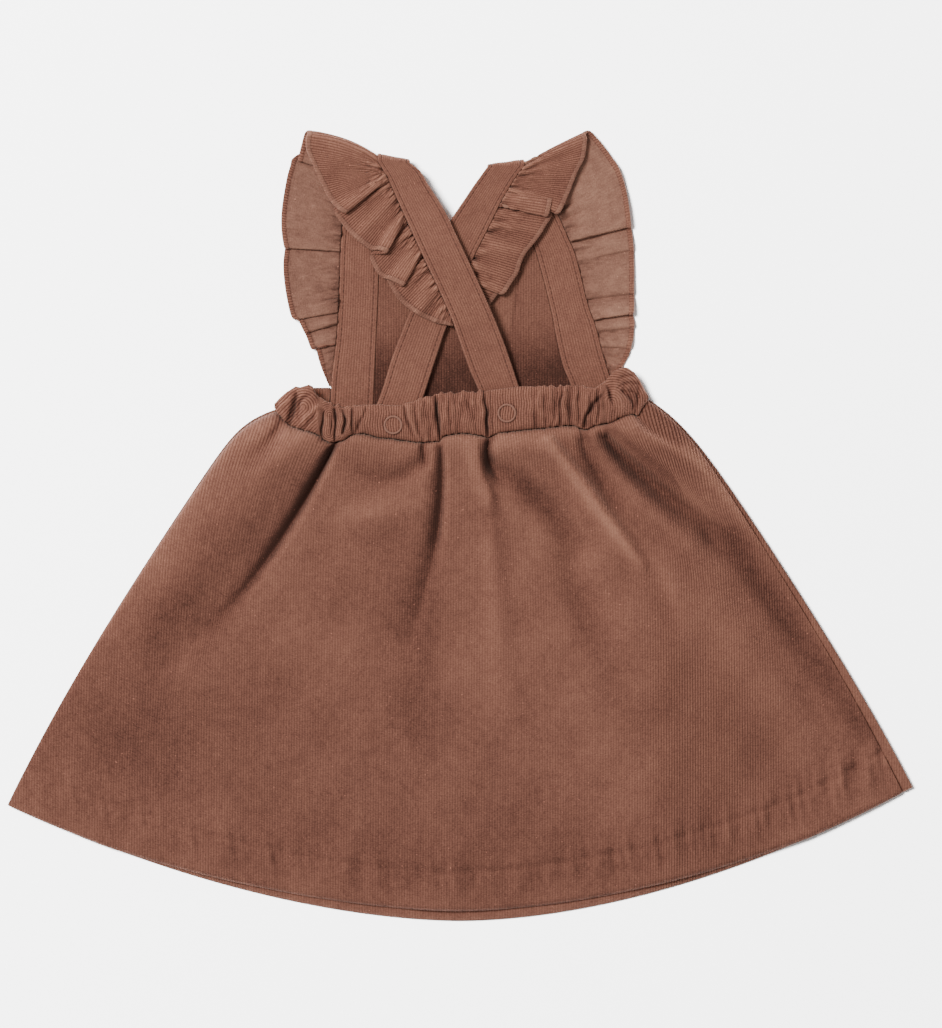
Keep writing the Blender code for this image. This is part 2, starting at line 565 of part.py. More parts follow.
def make_bib(collection):
    (_, left), left_end, _ = strap_edges(LEFT_STRAP_FRONT, LEFT_STRAP_BACK)
    (_, right), right_end, _ = strap_edges(RIGHT_STRAP_FRONT, RIGHT_STRAP_BACK)
    rise = np.linspace(0.0, 1.0, 12)
    left_y = left[0, 1] + (BIB_TOP[0] - left[0, 1]) * rise
    right_y = right[0, 1] + (BIB_TOP[1] - right[0, 1]) * rise
    left_x = np.interp(left_y, left[:left_end, 1], left[:left_end, 0]) + GAP + 0.1
    right_x = np.interp(right_y, right[:right_end, 1], right[:right_end, 0]) - GAP - 0.1
    across = np.linspace(0.0, 1.0, 12)
    x = left_x[:, None] + (right_x - left_x)[:, None] * across
    y = left_y[:, None] + (right_y - left_y)[:, None] * across
    y[0] = read_table(FRONT_BAND, x[0], 2) + GAP
    z = np.full_like(x, BIB_THICK)
    shell("bib", np.stack([x, y, z], axis=-1), BIB_THICK, -1.0, collection)


# ruffles

def ruffle_rows(table, outer, inner):
    # seam point just off the strap's outer edge, and hem point, for each row of a ruffle's table
    rows = np.asarray(table, float)
    seam_line = off_the_strap(outer, inner)
    order = np.argsort(outer[:, 1])
    places = [np.interp(rows[:, 0], outer[order, 1], seam_line[order, k]) for k in range(3)]
    return np.stack(places, axis=-1), rows[:, 1:4]


def off_the_strap(outer, inner):
    away = outer[:, :2] - inner[:, :2]
    away /= np.linalg.norm(away, axis=1)[:, None]
    result = outer.copy()
    result[:, :2] += 1.5 * GAP * away
    return result


def make_ruffle(name, strap, front_table, back_table, collection):
    (outer, inner), front_end, back_start = strap_edges(*strap)
    front_seam, front_hem_line = ruffle_rows(front_table, outer[:front_end], inner[:front_end])
    back_seam, back_hem_line = ruffle_rows(back_table, outer[back_start:], inner[back_start:])
    seam_turn = off_the_strap(outer[front_end:back_start], inner[front_end:back_start])
    fold = front_hem_line[-1] - front_seam[-1]
    outward = np.array([-fold[1], fold[0], 0.0]) / np.hypot(fold[0], fold[1])
    outward = outward * np.sign(outward[1])
    hem_turn = turn_over(front_hem_line[-1], back_hem_line[0], outward, STRAP_TURN)
    seam = np.concatenate([front_seam, seam_turn, back_seam])
    hem = np.concatenate([front_hem_line, hem_turn, back_hem_line])
    angle = np.linspace(0.0, np.pi, STRAP_TURN + 2)[1:-1]
    turning = np.concatenate([np.zeros(len(front_seam)), angle, np.full(len(back_seam), np.pi)])
    facing = np.outer(np.cos(turning), [0.0, 0.0, 1.0]) - np.outer(np.sin(turning), outward)

    seam, hem, facing = [split_long(part, hem) for part in (seam, hem, facing)]
    facing /= np.linalg.norm(facing, axis=1)[:, None]
    across = np.linspace(0.0, 1.0, RUFFLE_ACROSS)[None, :, None]
    middle = seam[:, None, :] * (1.0 - across) + hem[:, None, :] * across
    half = 0.5 * RUFFLE_CLOTH * facing[:, None, :]
    closed_sheet(name, middle + half, middle - half, collection)


def split_long(values, hem, longest=6.0):
    # a station more wherever two rows of the hem lie far apart
    result = [values[0]]
    for a, b, h0, h1 in zip(values, values[1:], hem, hem[1:]):
        parts = int(np.ceil(np.linalg.norm(h1 - h0) / longest))
        result += [a + (b - a) * k / parts for k in range(1, parts + 1)]
    return np.array(result)


# snaps

def make_snaps(collection):
    for name, (x, y) in SNAPS.items():
        height = float(band_top(np.array(x), np.array(y))) + GAP + SNAP_WIRE
        bpy.ops.mesh.primitive_torus_add(
            major_segments=24, minor_segments=6, major_radius=SNAP_RADIUS * MM,
            minor_radius=SNAP_WIRE * MM, location=(x * MM, y * MM, height * MM))
        ring = bpy.context.object
        ring.name = name
        ring.data.materials.append(cloth_material(name, roughness=0.6))
        ring.data.shade_smooth()
        for owner in list(ring.users_collection):
            owner.objects.unlink(ring)
        collection.objects.link(ring)


def main():
    clear_scene()
    dress = new_collection("pinafore_dress")
    left = (LEFT_STRAP_FRONT, LEFT_STRAP_BACK)
    right = (RIGHT_STRAP_FRONT, RIGHT_STRAP_BACK)
    make_skirt(dress)
    make_front_band(dress)
    make_back_band(dress)
    make_bib(dress)
    make_strap("strap_left", *left, dress)
    make_strap("strap_right", *right, dress)
    make_ruffle("ruffle_left", left, LEFT_RUFFLE_FRONT, LEFT_RUFFLE_BACK, dress)
    make_ruffle("ruffle_right", right, RIGHT_RUFFLE_FRONT, RIGHT_RUFFLE_BACK, dress)
    make_snaps(dress)


main()
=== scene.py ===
# A child's pinafore dress in fine corduroy, laid flat with its back up.
# Shapes are worked out in millimetres and made in metres: X across, Y from hem to shoulders, Z up.

import bpy
import numpy as np
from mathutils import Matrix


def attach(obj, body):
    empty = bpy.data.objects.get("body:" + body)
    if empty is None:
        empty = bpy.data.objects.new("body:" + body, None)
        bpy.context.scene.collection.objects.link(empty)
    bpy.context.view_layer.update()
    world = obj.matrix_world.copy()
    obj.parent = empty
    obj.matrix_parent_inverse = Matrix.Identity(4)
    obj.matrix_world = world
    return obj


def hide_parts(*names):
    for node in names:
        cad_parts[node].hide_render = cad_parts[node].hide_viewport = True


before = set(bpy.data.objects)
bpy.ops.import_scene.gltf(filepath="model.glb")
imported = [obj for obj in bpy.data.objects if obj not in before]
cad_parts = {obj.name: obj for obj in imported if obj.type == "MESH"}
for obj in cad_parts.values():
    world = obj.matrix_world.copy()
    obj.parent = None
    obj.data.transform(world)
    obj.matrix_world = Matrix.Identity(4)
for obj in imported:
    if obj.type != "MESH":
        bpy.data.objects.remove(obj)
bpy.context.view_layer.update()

millimetre = 0.001
gap = 0.3    # between sewn pieces
wale = 1.4   # from one rib to the next


def smoothStep(value):
    # from 0 to 1 with level ends: three times t squared less two times t cubed
    t = np.clip(value, 0.0, 1.0)
    return t * t * (3.0 - 2.0 * t)


def bell(value, power=2):
    # 1 at zero, dying away on both sides: e to the minus (value to a power)
    return np.exp(-value ** power)


def roundEdge(distance, power=0.5):
    # from 0 at an edge to 1 at a distance of 1: 1 - (1 - distance) squared, to a power. Its root is a quarter
    # circle
    inside = np.clip(distance, 0.0, 1.0)
    return (1.0 - (1.0 - inside) ** 2) ** power


def lookUp(table, x, column=1):
    # straight lines between the rows of a table whose first column is x
    rows = np.asarray(table, float)
    return np.interp(x, rows[:, 0], rows[:, column])


def softLookUp(table, x, reach):
    # the same from the second column, averaged over a short reach so that its corners are round
    steps = np.linspace(-reach, reach, 7)
    return np.mean([lookUp(table, x + step) for step in steps], axis=0)


def curveThrough(table, fractions):
    # a smooth curve through the rows of a table (Catmull-Rom), at fractions 0 to 1 of its length
    rows = np.asarray(table, float)
    steps = np.linalg.norm(np.diff(rows, axis=0), axis=1)
    place = np.concatenate([[0.0], np.cumsum(steps)]) / np.sum(steps)
    padded = np.concatenate([[2 * rows[0] - rows[1]], rows, [2 * rows[-1] - rows[-2]]])
    index = np.clip(np.searchsorted(place, fractions, side="right") - 1, 0, len(rows) - 2)
    t = ((fractions - place[index]) / (place[index + 1] - place[index]))[:, None]
    p0, p1, p2, p3 = padded[index], padded[index + 1], padded[index + 2], padded[index + 3]
    bend = 2 * p0 - 5 * p1 + 4 * p2 - p3
    return p1 + 0.5 * t * ((p2 - p0) + t * (bend + t * (3 * (p1 - p2) + p3 - p0)))


def distancesAlong(path):
    # how far along a path each of its points lies: the sum of the steps up to it
    steps = np.linalg.norm(np.diff(path, axis=0), axis=1)
    return np.concatenate([[0.0], np.cumsum(steps)])


def unevenness(x, y, size, seed, waves=7):
    # soft unevenness, mostly from -1 to 1: a sum of sine waves about size long, in directions that the seed
    # fixes, over the root of half their number and 1.6
    draw = np.random.default_rng(seed)
    turn = draw.uniform(0.0, np.pi, waves)
    length = size * draw.uniform(0.7, 1.6, waves)
    shift = draw.uniform(0.0, 2.0 * np.pi, waves)
    total = np.zeros(np.broadcast(x, y).shape)
    for k in range(waves):
        total = total + np.sin((x * np.cos(turn[k]) + y * np.sin(turn[k])) * 2 * np.pi / length[k] + shift[k])
    return total / np.sqrt(0.5 * waves) / 1.6


def foldRelief(x, y, fold):
    # height of one fold: a ridge along a curve through three points, unlike on its two sides. It is
    # h * bell(distance / width, sharpness), a valley where h is below zero
    x0, y0, x1, y1, x2, y2, h0, h1, h2, west, east, spread, sharpness = fold
    s = np.linspace(0.0, 1.0, 41)
    cx = 2 * x1 - 0.5 * (x0 + x2)
    cy = 2 * y1 - 0.5 * (y0 + y2)
    px = (1 - s) ** 2 * x0 + 2 * s * (1 - s) * cx + s ** 2 * x2
    py = (1 - s) ** 2 * y0 + 2 * s * (1 - s) * cy + s ** 2 * y2
    reach = 3.2 * max(west, east) * max(1.0, spread)
    close = (x > px.min() - reach) & (x < px.max() + reach) & (y > py.min() - reach) & (y < py.max() + reach)
    result = np.zeros_like(x)
    if not close.any():
        return result
    xs, ys = x[close], y[close]
    near = np.argmin((xs[:, None] - px) ** 2 + (ys[:, None] - py) ** 2, axis=1)
    # the nearest point lies on one of the two pieces beside the nearest station
    best = np.full(len(xs), np.inf)
    at = np.zeros(len(xs))
    side = np.zeros(len(xs))
    for piece in (np.clip(near - 1, 0, len(s) - 2), np.clip(near, 0, len(s) - 2)):
        ax, ay = px[piece], py[piece]
        dx, dy = px[piece + 1] - ax, py[piece + 1] - ay
        k = np.clip(((xs - ax) * dx + (ys - ay) * dy) / (dx * dx + dy * dy), 0.0, 1.0)
        rx, ry = xs - ax - k * dx, ys - ay - k * dy
        d = np.hypot(rx, ry)
        better = d < best
        best = np.where(better, d, best)
        at = np.where(better, (piece + k) / (len(s) - 1), at)
        side = np.where(better, dx * ry - dy * rx, side)
    width = np.where(side > 0, east, west) * (1.0 + (spread - 1.0) * at)
    height = np.interp(at, [0.0, 0.5, 1.0], [h0, h1, h2])
    result[close] = height * bell(best / width, sharpness)
    return result


def addFolds(x, y, folds):
    # the sum of all folds in a dictionary
    return sum(foldRelief(x, y, fold) for fold in folds.values())


def gridQuads(rows, columns, start=0, closed=False):
    # the four corners of every cell of a grid, closed across its last column if asked
    i = np.arange(rows - 1)[:, None]
    j = np.arange(columns if closed else columns - 1)[None, :]
    a = start + i * columns + j
    b = start + i * columns + (j + 1) % columns
    return np.stack([a, b, b + columns, a + columns], axis=-1).reshape(-1, 4)


def addObject(name, data):
    # a new object at the origin
    piece = bpy.data.objects.new(name, data)
    bpy.context.scene.collection.objects.link(piece)
    return piece


def buildMesh(name, points, quads, others, material, cloth=None, wrongSide=0.0, shade=0.0):
    # one mesh from whole arrays: points in mm, quads, a short list of other faces, and UVs in wales. The
    # material reads two marks: how much of the cloth's wrong side a point shows, and how its folds shade it
    points = points.reshape(-1, 3)
    cloth = np.zeros((len(points), 2)) if cloth is None else cloth.reshape(-1, 2)
    loops = np.concatenate([quads.ravel()] + [np.asarray(face) for face in others]).astype(np.int32)
    sizes = np.concatenate([np.full(len(quads), 4), [len(face) for face in others]]).astype(np.int32)
    starts = np.concatenate([[0], np.cumsum(sizes)[:-1]]).astype(np.int32)
    mesh = bpy.data.meshes.new(name)
    mesh.vertices.add(len(points))
    mesh.vertices.foreach_set("co", (points * millimetre).astype(np.float32).ravel())
    mesh.loops.add(len(loops))
    mesh.loops.foreach_set("vertex_index", loops)
    mesh.polygons.add(len(sizes))
    mesh.polygons.foreach_set("loop_start", starts)
    mesh.update(calc_edges=True)
    layer = mesh.uv_layers.new(name="cloth")
    layer.data.foreach_set("uv", cloth[loops].astype(np.float32).ravel())
    for key, value in (("wrongSide", wrongSide), ("shade", shade)):
        mark = mesh.attributes.new(key, "FLOAT", "POINT")
        mark.data.foreach_set("value", np.broadcast_to(np.ravel(value), len(points)).astype(np.float32))
    mesh.shade_smooth()
    mesh.materials.append(material)
    mesh.validate()
    return addObject(name, mesh)


def every(count, step):
    # each step-th number below count, and the last one
    picks = np.arange(0, count, step)
    return picks if picks[-1] == count - 1 else np.append(picks, count - 1)


def rimFaces(rows, columns, rowPicks, columnPicks):
    # faces that join the border of a fine grid to that of the coarser grid behind it: one for each coarse
    # step, with all the fine points along it
    width = len(columnPicks)
    base = rows * columns
    last = (rows - 1) * columns
    under = base + (len(rowPicks) - 1) * width
    faces = []
    for k in range(width - 1):
        span = range(columnPicks[k], columnPicks[k + 1] + 1)
        faces.append(list(span)[::-1] + [base + k, base + k + 1])
        faces.append([last + n for n in span] + [under + k + 1, under + k])
    for k in range(len(rowPicks) - 1):
        span = range(rowPicks[k], rowPicks[k + 1] + 1)
        here, beyond = base + k * width, base + (k + 1) * width
        faces.append([n * columns for n in span] + [beyond, here])
        faces.append([n * columns + columns - 1 for n in span][::-1] + [here + width - 1, beyond + width - 1])
    return faces


def clothSheet(name, face, back, cloth, material, shade=0.0, rowStep=2, columnStep=4, turned=0.0, plain=0.0):
    # closed cloth: a fine grid for its right side, a coarser one for its wrong side, joined round the rim.
    # Where turned is 1, a hem shows the right side at the back too; where plain is 1, the face has no pile
    rows, columns = face.shape[:2]
    rowPicks, columnPicks = every(rows, rowStep), every(columns, columnStep)
    shade, turned, plain = (np.broadcast_to(value, (rows, columns)) for value in (shade, turned, plain))
    behind = [grid[rowPicks][:, columnPicks] for grid in (back, cloth, shade, turned)]
    points = np.concatenate([face.reshape(-1, 3), behind[0].reshape(-1, 3)])
    quads = np.concatenate([
        gridQuads(rows, columns),
        gridQuads(len(rowPicks), len(columnPicks), rows * columns)[:, ::-1],
    ])
    others = rimFaces(rows, columns, rowPicks, columnPicks)
    i, j = rows // 2, columns // 2
    out = np.cross(face[i, j + 1] - face[i, j - 1], face[i + 1, j] - face[i - 1, j])
    if np.dot(out, face[i, j] - back[i, j]) < 0:
        quads = quads[:, ::-1]
        others = [other[::-1] for other in others]
    uvs = np.concatenate([cloth.reshape(-1, 2), behind[1].reshape(-1, 2)])
    shades = np.concatenate([shade.ravel(), behind[2].ravel()])
    wrongSide = np.concatenate([plain.ravel(), 1.0 - behind[3].ravel()])
    return buildMesh(name, points, quads, others, material, uvs, wrongSide, shades)


def waleProfile(count):
    # height of the pile from 0 in the groove to 1 on the rib, where count is whole in the grooves:
    # the size of a sine, to the power 0.7
    return np.abs(np.sin(np.pi * count)) ** 0.7


def normalsOf(surface):
    # unit normals of a grid of points: the cross product of the differences between its neighbours
    across = np.gradient(surface, axis=1)
    along = np.gradient(surface, axis=0)
    normal = np.cross(across, along)
    return normal / np.maximum(np.linalg.norm(normal, axis=-1, keepdims=True), 1e-9)


corduroy = {
    "rib": (0.250, 0.108, 0.0735),      # top of the pile
    "groove": (0.078, 0.028, 0.018),    # ground cloth between two ribs, darkened further as painted shade in the groove
    "wrong": (0.232, 0.112, 0.078),     # smooth wrong side
    "wrongRange": (0.50, 1.50),         # its darkest and lightest threads
    "plainness": 0.72, "swing": 1.2,    # how plainly the ribs show, and how that changes with the patches
    # nap: scale, detail and roughness of each size of mottle, and its strength
    "clouds": (42.0, 2.0, 0.5, 0.30),
    "patches": (230.0, 4.0, 0.62, 0.80),
    "weft": (1.0, 3.0, 0.65, 0.85),
    "grain": (1500.0, 2.0, 0.7, 0.75),
    "weftStretch": (0.9, 2.4), "weaveStretch": (1.5, 0.22),   # across and along the wales
    "lint": (900.0, 0.83, 25.0),        # scale, how rare it is, and how crisp
    "shade": 0.42,                      # how much the painted shade and light of the shade mark shows
    "relief": 0.0005, "roughness": 0.94,
    "sheen": 0.16, "sheenColor": (1.0, 0.80, 0.66),
}

# how plainly the skirt's ribs show: rising between two places along Y, in metres; more in a stretch down each
# side, which begins and ends between places along X; and how much more, from the left side to the right
skirtRibContrast = {
    "up": (0.015, 0.045, 0.60, 1.05), "sideIn": (0.085, 0.115), "sideOut": (0.150, 0.200),
    "leftRight": (-0.05, 0.05, 0.15, 0.85), "middle": 0.9,
}


class Nodes:
    # shorthand for building a material's node tree
    def __init__(self, name):
        self.material = bpy.data.materials.new(name)
        self.material.use_nodes = True
        self.tree = self.material.node_tree
        self.shader = self.tree.nodes["Principled BSDF"]

    def add(self, kind, **settings):
        # a new node with its settings
        node = self.tree.nodes.new(kind)
        for key, value in settings.items():
            setattr(node, key, value)
        return node

    def link(self, source, target):
        # a number, a colour or another node's output goes into a socket
        if isinstance(source, (int, float)):
            target.default_value = source
        elif isinstance(source, tuple):
            target.default_value = (*source, 1.0)
        else:
            self.tree.links.new(source, target)

    def maths(self, operation, *values, clamp=False):
        # one operation on up to three values
        node = self.add("ShaderNodeMath", operation=operation, use_clamp=clamp)
        for value, target in zip(values, node.inputs):
            self.link(value, target)
        return node.outputs[0]

    def times(self, first, second):
        return self.maths("MULTIPLY", first, second)

    def plus(self, first, second, clamp=False):
        return self.maths("ADD", first, second, clamp=clamp)

    def minus(self, first, second):
        return self.maths("SUBTRACT", first, second)

    def split(self, vector):
        # the x, y and z of a vector
        node = self.add("ShaderNodeSeparateXYZ")
        self.link(vector, node.inputs[0])
        return node.outputs

    def stretched(self, values, factors):
        # a vector of two values, each times its factor
        scaled = [self.times(value, factor) for value, factor in zip(values, factors)]
        node = self.add("ShaderNodeCombineXYZ")
        for value, target in zip(scaled, node.inputs):
            self.link(value, target)
        return node.outputs[0]

    def noise(self, vector, scale, detail, roughness=0.5):
        # soft noise from 0 to 1
        node = self.add("ShaderNodeTexNoise")
        self.link(vector, node.inputs["Vector"])
        for key, value in (("Scale", scale), ("Detail", detail), ("Roughness", roughness)):
            node.inputs[key].default_value = value
        return node.outputs["Fac"]

    def mix(self, amount, first, second):
        # the first colour where the amount is 0, the second where it is 1
        node = self.add("ShaderNodeMix", data_type="RGBA")
        for value, key in ((amount, "Factor"), (first, "A"), (second, "B")):
            self.link(value, node.inputs[key])
        return node.outputs["Result"]

    def softStep(self, value, low, high, first=0.0, last=1.0):
        # from first to last while the value goes from low to high, with level ends
        node = self.add("ShaderNodeMapRange", interpolation_type="SMOOTHSTEP")
        self.link(value, node.inputs["Value"])
        for key, number in (("From Min", low), ("From Max", high), ("To Min", first), ("To Max", last)):
            node.inputs[key].default_value = number
        return node.outputs[0]

    def attribute(self, name):
        # a mark of the mesh
        return self.add("ShaderNodeAttribute", attribute_name=name).outputs["Fac"]

    def finish(self, color, height, relief, roughness, sheen, sheenColor):
        # colour and fine relief into the shader, and a sheen; cloth reflects little else
        bump = self.add("ShaderNodeBump")
        self.link(height, bump.inputs["Height"])
        bump.inputs["Distance"].default_value = relief
        self.link(bump.outputs["Normal"], self.shader.inputs["Normal"])
        self.link(color, self.shader.inputs["Base Color"])
        fixed = {
            "Roughness": roughness, "Specular IOR Level": 0.15,
            "Sheen Weight": sheen, "Sheen Roughness": 0.45, "Sheen Tint": sheenColor,
        }
        for key, value in fixed.items():
            self.link(value, self.shader.inputs[key])
        return self.material


def toned(color, tone):
    # every channel of a colour, times the tone
    return tuple(channel * tone for channel in color)


def corduroyMaterial(name, tone, depth=1.0, ribContrast=None):
    # the UV map counts wales across and along: a place is as low as 1 - (the size of a sine) ** 0.9, and its
    # colour goes from rib to groove by that, times how plainly the ribs show; the groove's darkness is partly
    # painted shade. The nap is noise on Object coordinates, and the shade mark adds painted shade and light.
    # depth is how plain the ribs of this cloth are, and ribContrast changes that over the piece
    n = Nodes(name)
    uv = n.add("ShaderNodeUVMap", uv_map="cloth").outputs["UV"]
    across, along = n.split(uv)[:2]
    place = n.add("ShaderNodeTexCoord").outputs["Object"]
    clouds = n.noise(place, *corduroy["clouds"][:3])
    patches = n.noise(place, *corduroy["patches"][:3])
    weft = n.noise(n.stretched((across, along), corduroy["weftStretch"]), *corduroy["weft"][:3])
    grain = n.noise(place, *corduroy["grain"][:3])

    # ribs: nap covers the grooves in places, and tufts break their edges
    wave = n.maths("SINE", n.times(across, np.pi))
    low = n.minus(1.0, n.maths("POWER", n.maths("ABSOLUTE", wave), 0.9))
    plain = n.maths("MULTIPLY_ADD", n.minus(patches, 0.5), corduroy["swing"], corduroy["plainness"] * depth)
    # how plainly the ribs, and the groove's painted shade, show changes by place along X and Y
    if ribContrast:
        placeX, placeY, _ = n.split(place)
        plain = n.times(plain, n.softStep(placeY, *ribContrast["up"]))
        aside = n.maths("ABSOLUTE", placeX)
        sideContrast = n.minus(n.softStep(aside, *ribContrast["sideIn"]), n.softStep(aside, *ribContrast["sideOut"]))
        sideContrast = n.times(sideContrast, n.softStep(placeX, *ribContrast["leftRight"]))
        plain = n.times(plain, n.plus(ribContrast["middle"], sideContrast))
    # ribs show more plainly where the shade mark paints shade, and less where it paints light
    plain = n.times(plain, n.minus(1.0, n.times(n.attribute("shade"), 0.45)))
    level = n.minus(1.0, n.times(low, plain))
    level = n.plus(level, n.times(n.minus(weft, 0.5), 0.6), clamp=True)
    right = n.mix(level, toned(corduroy["groove"], tone), toned(corduroy["rib"], tone))

    # wrong side: a plain weave, fine threads across
    weave = n.noise(n.stretched((across, along), corduroy["weaveStretch"]), 1.0, 4.0, 0.75)
    dark, light = (toned(corduroy["wrong"], share * tone) for share in corduroy["wrongRange"])
    color = n.mix(n.attribute("wrongSide"), right, n.mix(weave, dark, light))

    # nap: each size of mottle, and the shade mark's painted shade and light; lighter places are yellower and
    # darker ones redder
    gain = n.times(n.attribute("shade"), corduroy["shade"])
    for texture, key in ((clouds, "clouds"), (patches, "patches"), (weft, "weft"), (grain, "grain")):
        gain = n.plus(gain, n.times(n.minus(texture, 0.5), corduroy[key][3]))
    tint = n.mix(n.plus(0.5, gain, clamp=True), (1.05, 0.96, 0.98), (0.98, 1.04, 1.02))
    lintScale, rare, crisp = corduroy["lint"]
    specks = n.maths("MULTIPLY", n.minus(n.noise(place, lintScale, 0.0), rare), crisp, clamp=True)
    gain = n.plus(gain, specks)
    tinted = n.add("ShaderNodeVectorMath", operation="MULTIPLY")
    n.link(color, tinted.inputs[0])
    n.link(tint, tinted.inputs[1])
    bright = n.add("ShaderNodeVectorMath", operation="SCALE")
    n.link(tinted.outputs[0], bright.inputs[0])
    n.link(n.maths("MAXIMUM", n.plus(1.0, gain), 0.30), bright.inputs["Scale"])
    height = n.plus(n.times(weft, 0.5), n.times(grain, 0.5))
    return n.finish(bright.outputs[0], height, corduroy["relief"], corduroy["roughness"],
                    corduroy["sheen"], corduroy["sheenColor"])


def threadMaterial(name, color):
    # twisted thread: noise between a darker and a lighter tone, raised by the same noise
    n = Nodes(name)
    place = n.add("ShaderNodeTexCoord").outputs["Object"]
    twist = n.noise(place, 2600.0, 2.0)
    shade = n.mix(twist, toned(color, 0.75), toned(color, 1.2))
    return n.finish(shade, twist, 0.0001, 0.85, 0.3, (1.0, 0.8, 0.7))


skirtCloth = corduroyMaterial("skirt corduroy", tone=0.965, ribContrast=skirtRibContrast)
# the inside corduroy's lower tone is painted shade, for the front band and bib that lie low under the back
# pieces
insideCloth = corduroyMaterial("inside corduroy", tone=0.88, depth=0.6)
bandCloth = corduroyMaterial("waistband corduroy", tone=1.10, depth=1.35)
strapCloth = corduroyMaterial("strap corduroy", tone=1.0, depth=0.7)
ruffleCloth = corduroyMaterial("ruffle corduroy", tone=1.06, depth=1.3)
thread = threadMaterial("sewing thread", (0.075, 0.030, 0.021))
snapPaint = threadMaterial("snap paint", (0.275, 0.130, 0.092))
print("materials ready")


def stitchPods(path, up, spacing, length, thickness):
    # points of a row of stitches: the same small pod, five rings of six points, carried to even places along
    # a path and sunk half into the cloth, which faces up there
    place = distancesAlong(path)
    centres = np.arange(spacing * 0.5, place[-1], spacing)

    def at(values, where):
        # straight lines between the values given for the path's points
        return np.stack([np.interp(where, place, values[:, k]) for k in range(3)], axis=-1)

    tangent = at(path, centres + 0.3) - at(path, centres - 0.3)
    tangent /= np.linalg.norm(tangent, axis=1, keepdims=True)
    aside = np.cross(at(up, centres), tangent)
    aside /= np.linalg.norm(aside, axis=1, keepdims=True)
    lift = np.cross(tangent, aside)
    s = np.array([-1.0, -0.7, 0.0, 0.7, 1.0])
    wide = np.array([0.25, 0.85, 1.0, 0.85, 0.25])
    angle = np.arange(6) * np.pi / 3
    along = np.repeat(s, 6) * length * 0.5
    side = np.outer(wide, np.cos(angle)).ravel() * thickness * 0.5
    high = np.outer(wide, np.sin(angle)).ravel() * thickness * 0.5 - np.repeat(0.12 * s ** 2, 6)
    points = (at(path, centres)[:, None, :] + along[None, :, None] * tangent[:, None, :]
              + side[None, :, None] * aside[:, None, :] + high[None, :, None] * lift[:, None, :])
    return points.reshape(-1, 3)


def makeStitches(name, lines, spacing=2.9, length=2.3, thickness=0.34):
    # the stitches of several rows in one mesh, each closed by a cap at both ends
    points = np.concatenate([stitchPods(path, up, spacing, length, thickness) for path, up in lines])
    firsts = np.arange(0, len(points), 30)
    quads = (gridQuads(5, 6, closed=True)[:, ::-1] + firsts[:, None, None]).reshape(-1, 4)
    caps = []
    for first in firsts:
        caps += [[first + n for n in range(6)], [first + 29 - n for n in range(6)]]
    return buildMesh(name, points, quads, caps, thread)


# both panels; pairs are for the left and the right side
skirt = {
    "waistMiddle": 1.25, "waistHalf": 98.75, "length": 250.0,
    "hemHalf": 239.5, "hemLow": -209.4, "hemRise": 66.15, "hemPower": 1.8, "hemTilt": 4.75,
    "bulge": (14.2, 11.0), "bulgeStart": (0.03, 0.06),
    "backLift": 5.5, "backHalf": 185.0,                # the back hem ends above the front one
    "endSlope": 0.53, "strip": 5.3, "stripTop": 0.9,   # front panel past the right side seam
    "seamHeight": 11.8, "puffHeight": 17.0, "puffReach": 75.0, "puffStart": 2.4, "hemHeight": 3.7,
    "deepest": -9.0, "soft": 0.18, "softSize": 38.0,
    "edgeHeight": 3.5, "edgeRound": (22.0, 48.0), "edgeFall": (0.5, 0.72), "floorEase": 4.0, "overBand": 1.6,
    "hemDeep": 21.0, "hemGroove": 0.45, "grooveWide": 1.5, "pucker": 0.50, "puckerWide": 9.0,
    "hemRound": 2.2, "hemDrop": 1.3,
    "cloth": 1.6, "waleCount": 342, "waleSamples": 3, "waleHeight": 0.27,
    "takenReach": 55.0, "takenWide": 0.02,    # how far down and how narrowly the creases take in cloth
    "backRows": (59, 20, 26.0), "frontRows": (15, 8, 16.0),   # rows above the hem, in it, and its depth
    "litX": -1.0, "litY": 0.7,                # towards the key lamp: slopes facing it are painted lighter, those facing away darker
}

# how far down a panel its rows of points lie: most of them where the folds are
rowPlaces = [(0.0, 0.0), (0.12, 0.045), (0.80, 0.50), (1.0, 1.0)]

# x and y of the seam between the back panel and the back waistband
waistSeam = [
    (-99.0, 63.6), (-96.6, 59.2), (-93.2, 55.5), (-89.8, 52.8), (-88.1, 51.8), (-82.7, 50.1), (-77.6, 48.7),
    (-73.6, 47.0), (-72.2, 45.3), (-68.5, 43.3), (-66.1, 44.0), (-61.1, 44.7), (-56.7, 47.9), (-50.6, 48.3),
    (-47.9, 47.6), (-42.8, 46.1), (-36.2, 45.7), (-28.4, 44.5), (-22.2, 43.7), (-10.5, 44.3), (-9.6, 45.7),
    (-9.0, 46.9), (-3.2, 48.0), (1.1, 48.6), (5.3, 48.0), (11.7, 47.2), (14.6, 46.1), (17.0, 47.4),
    (21.2, 48.8), (37.1, 50.6), (46.6, 51.4), (55.7, 52.6), (61.1, 52.4), (62.5, 51.2), (67.3, 50.4),
    (70.5, 52.4), (75.9, 53.6), (80.0, 54.3), (83.4, 56.3), (88.1, 58.0), (91.2, 58.9), (92.2, 58.4),
    (93.8, 57.7), (94.9, 59.0), (97.2, 63.4), (99.6, 66.5),
]

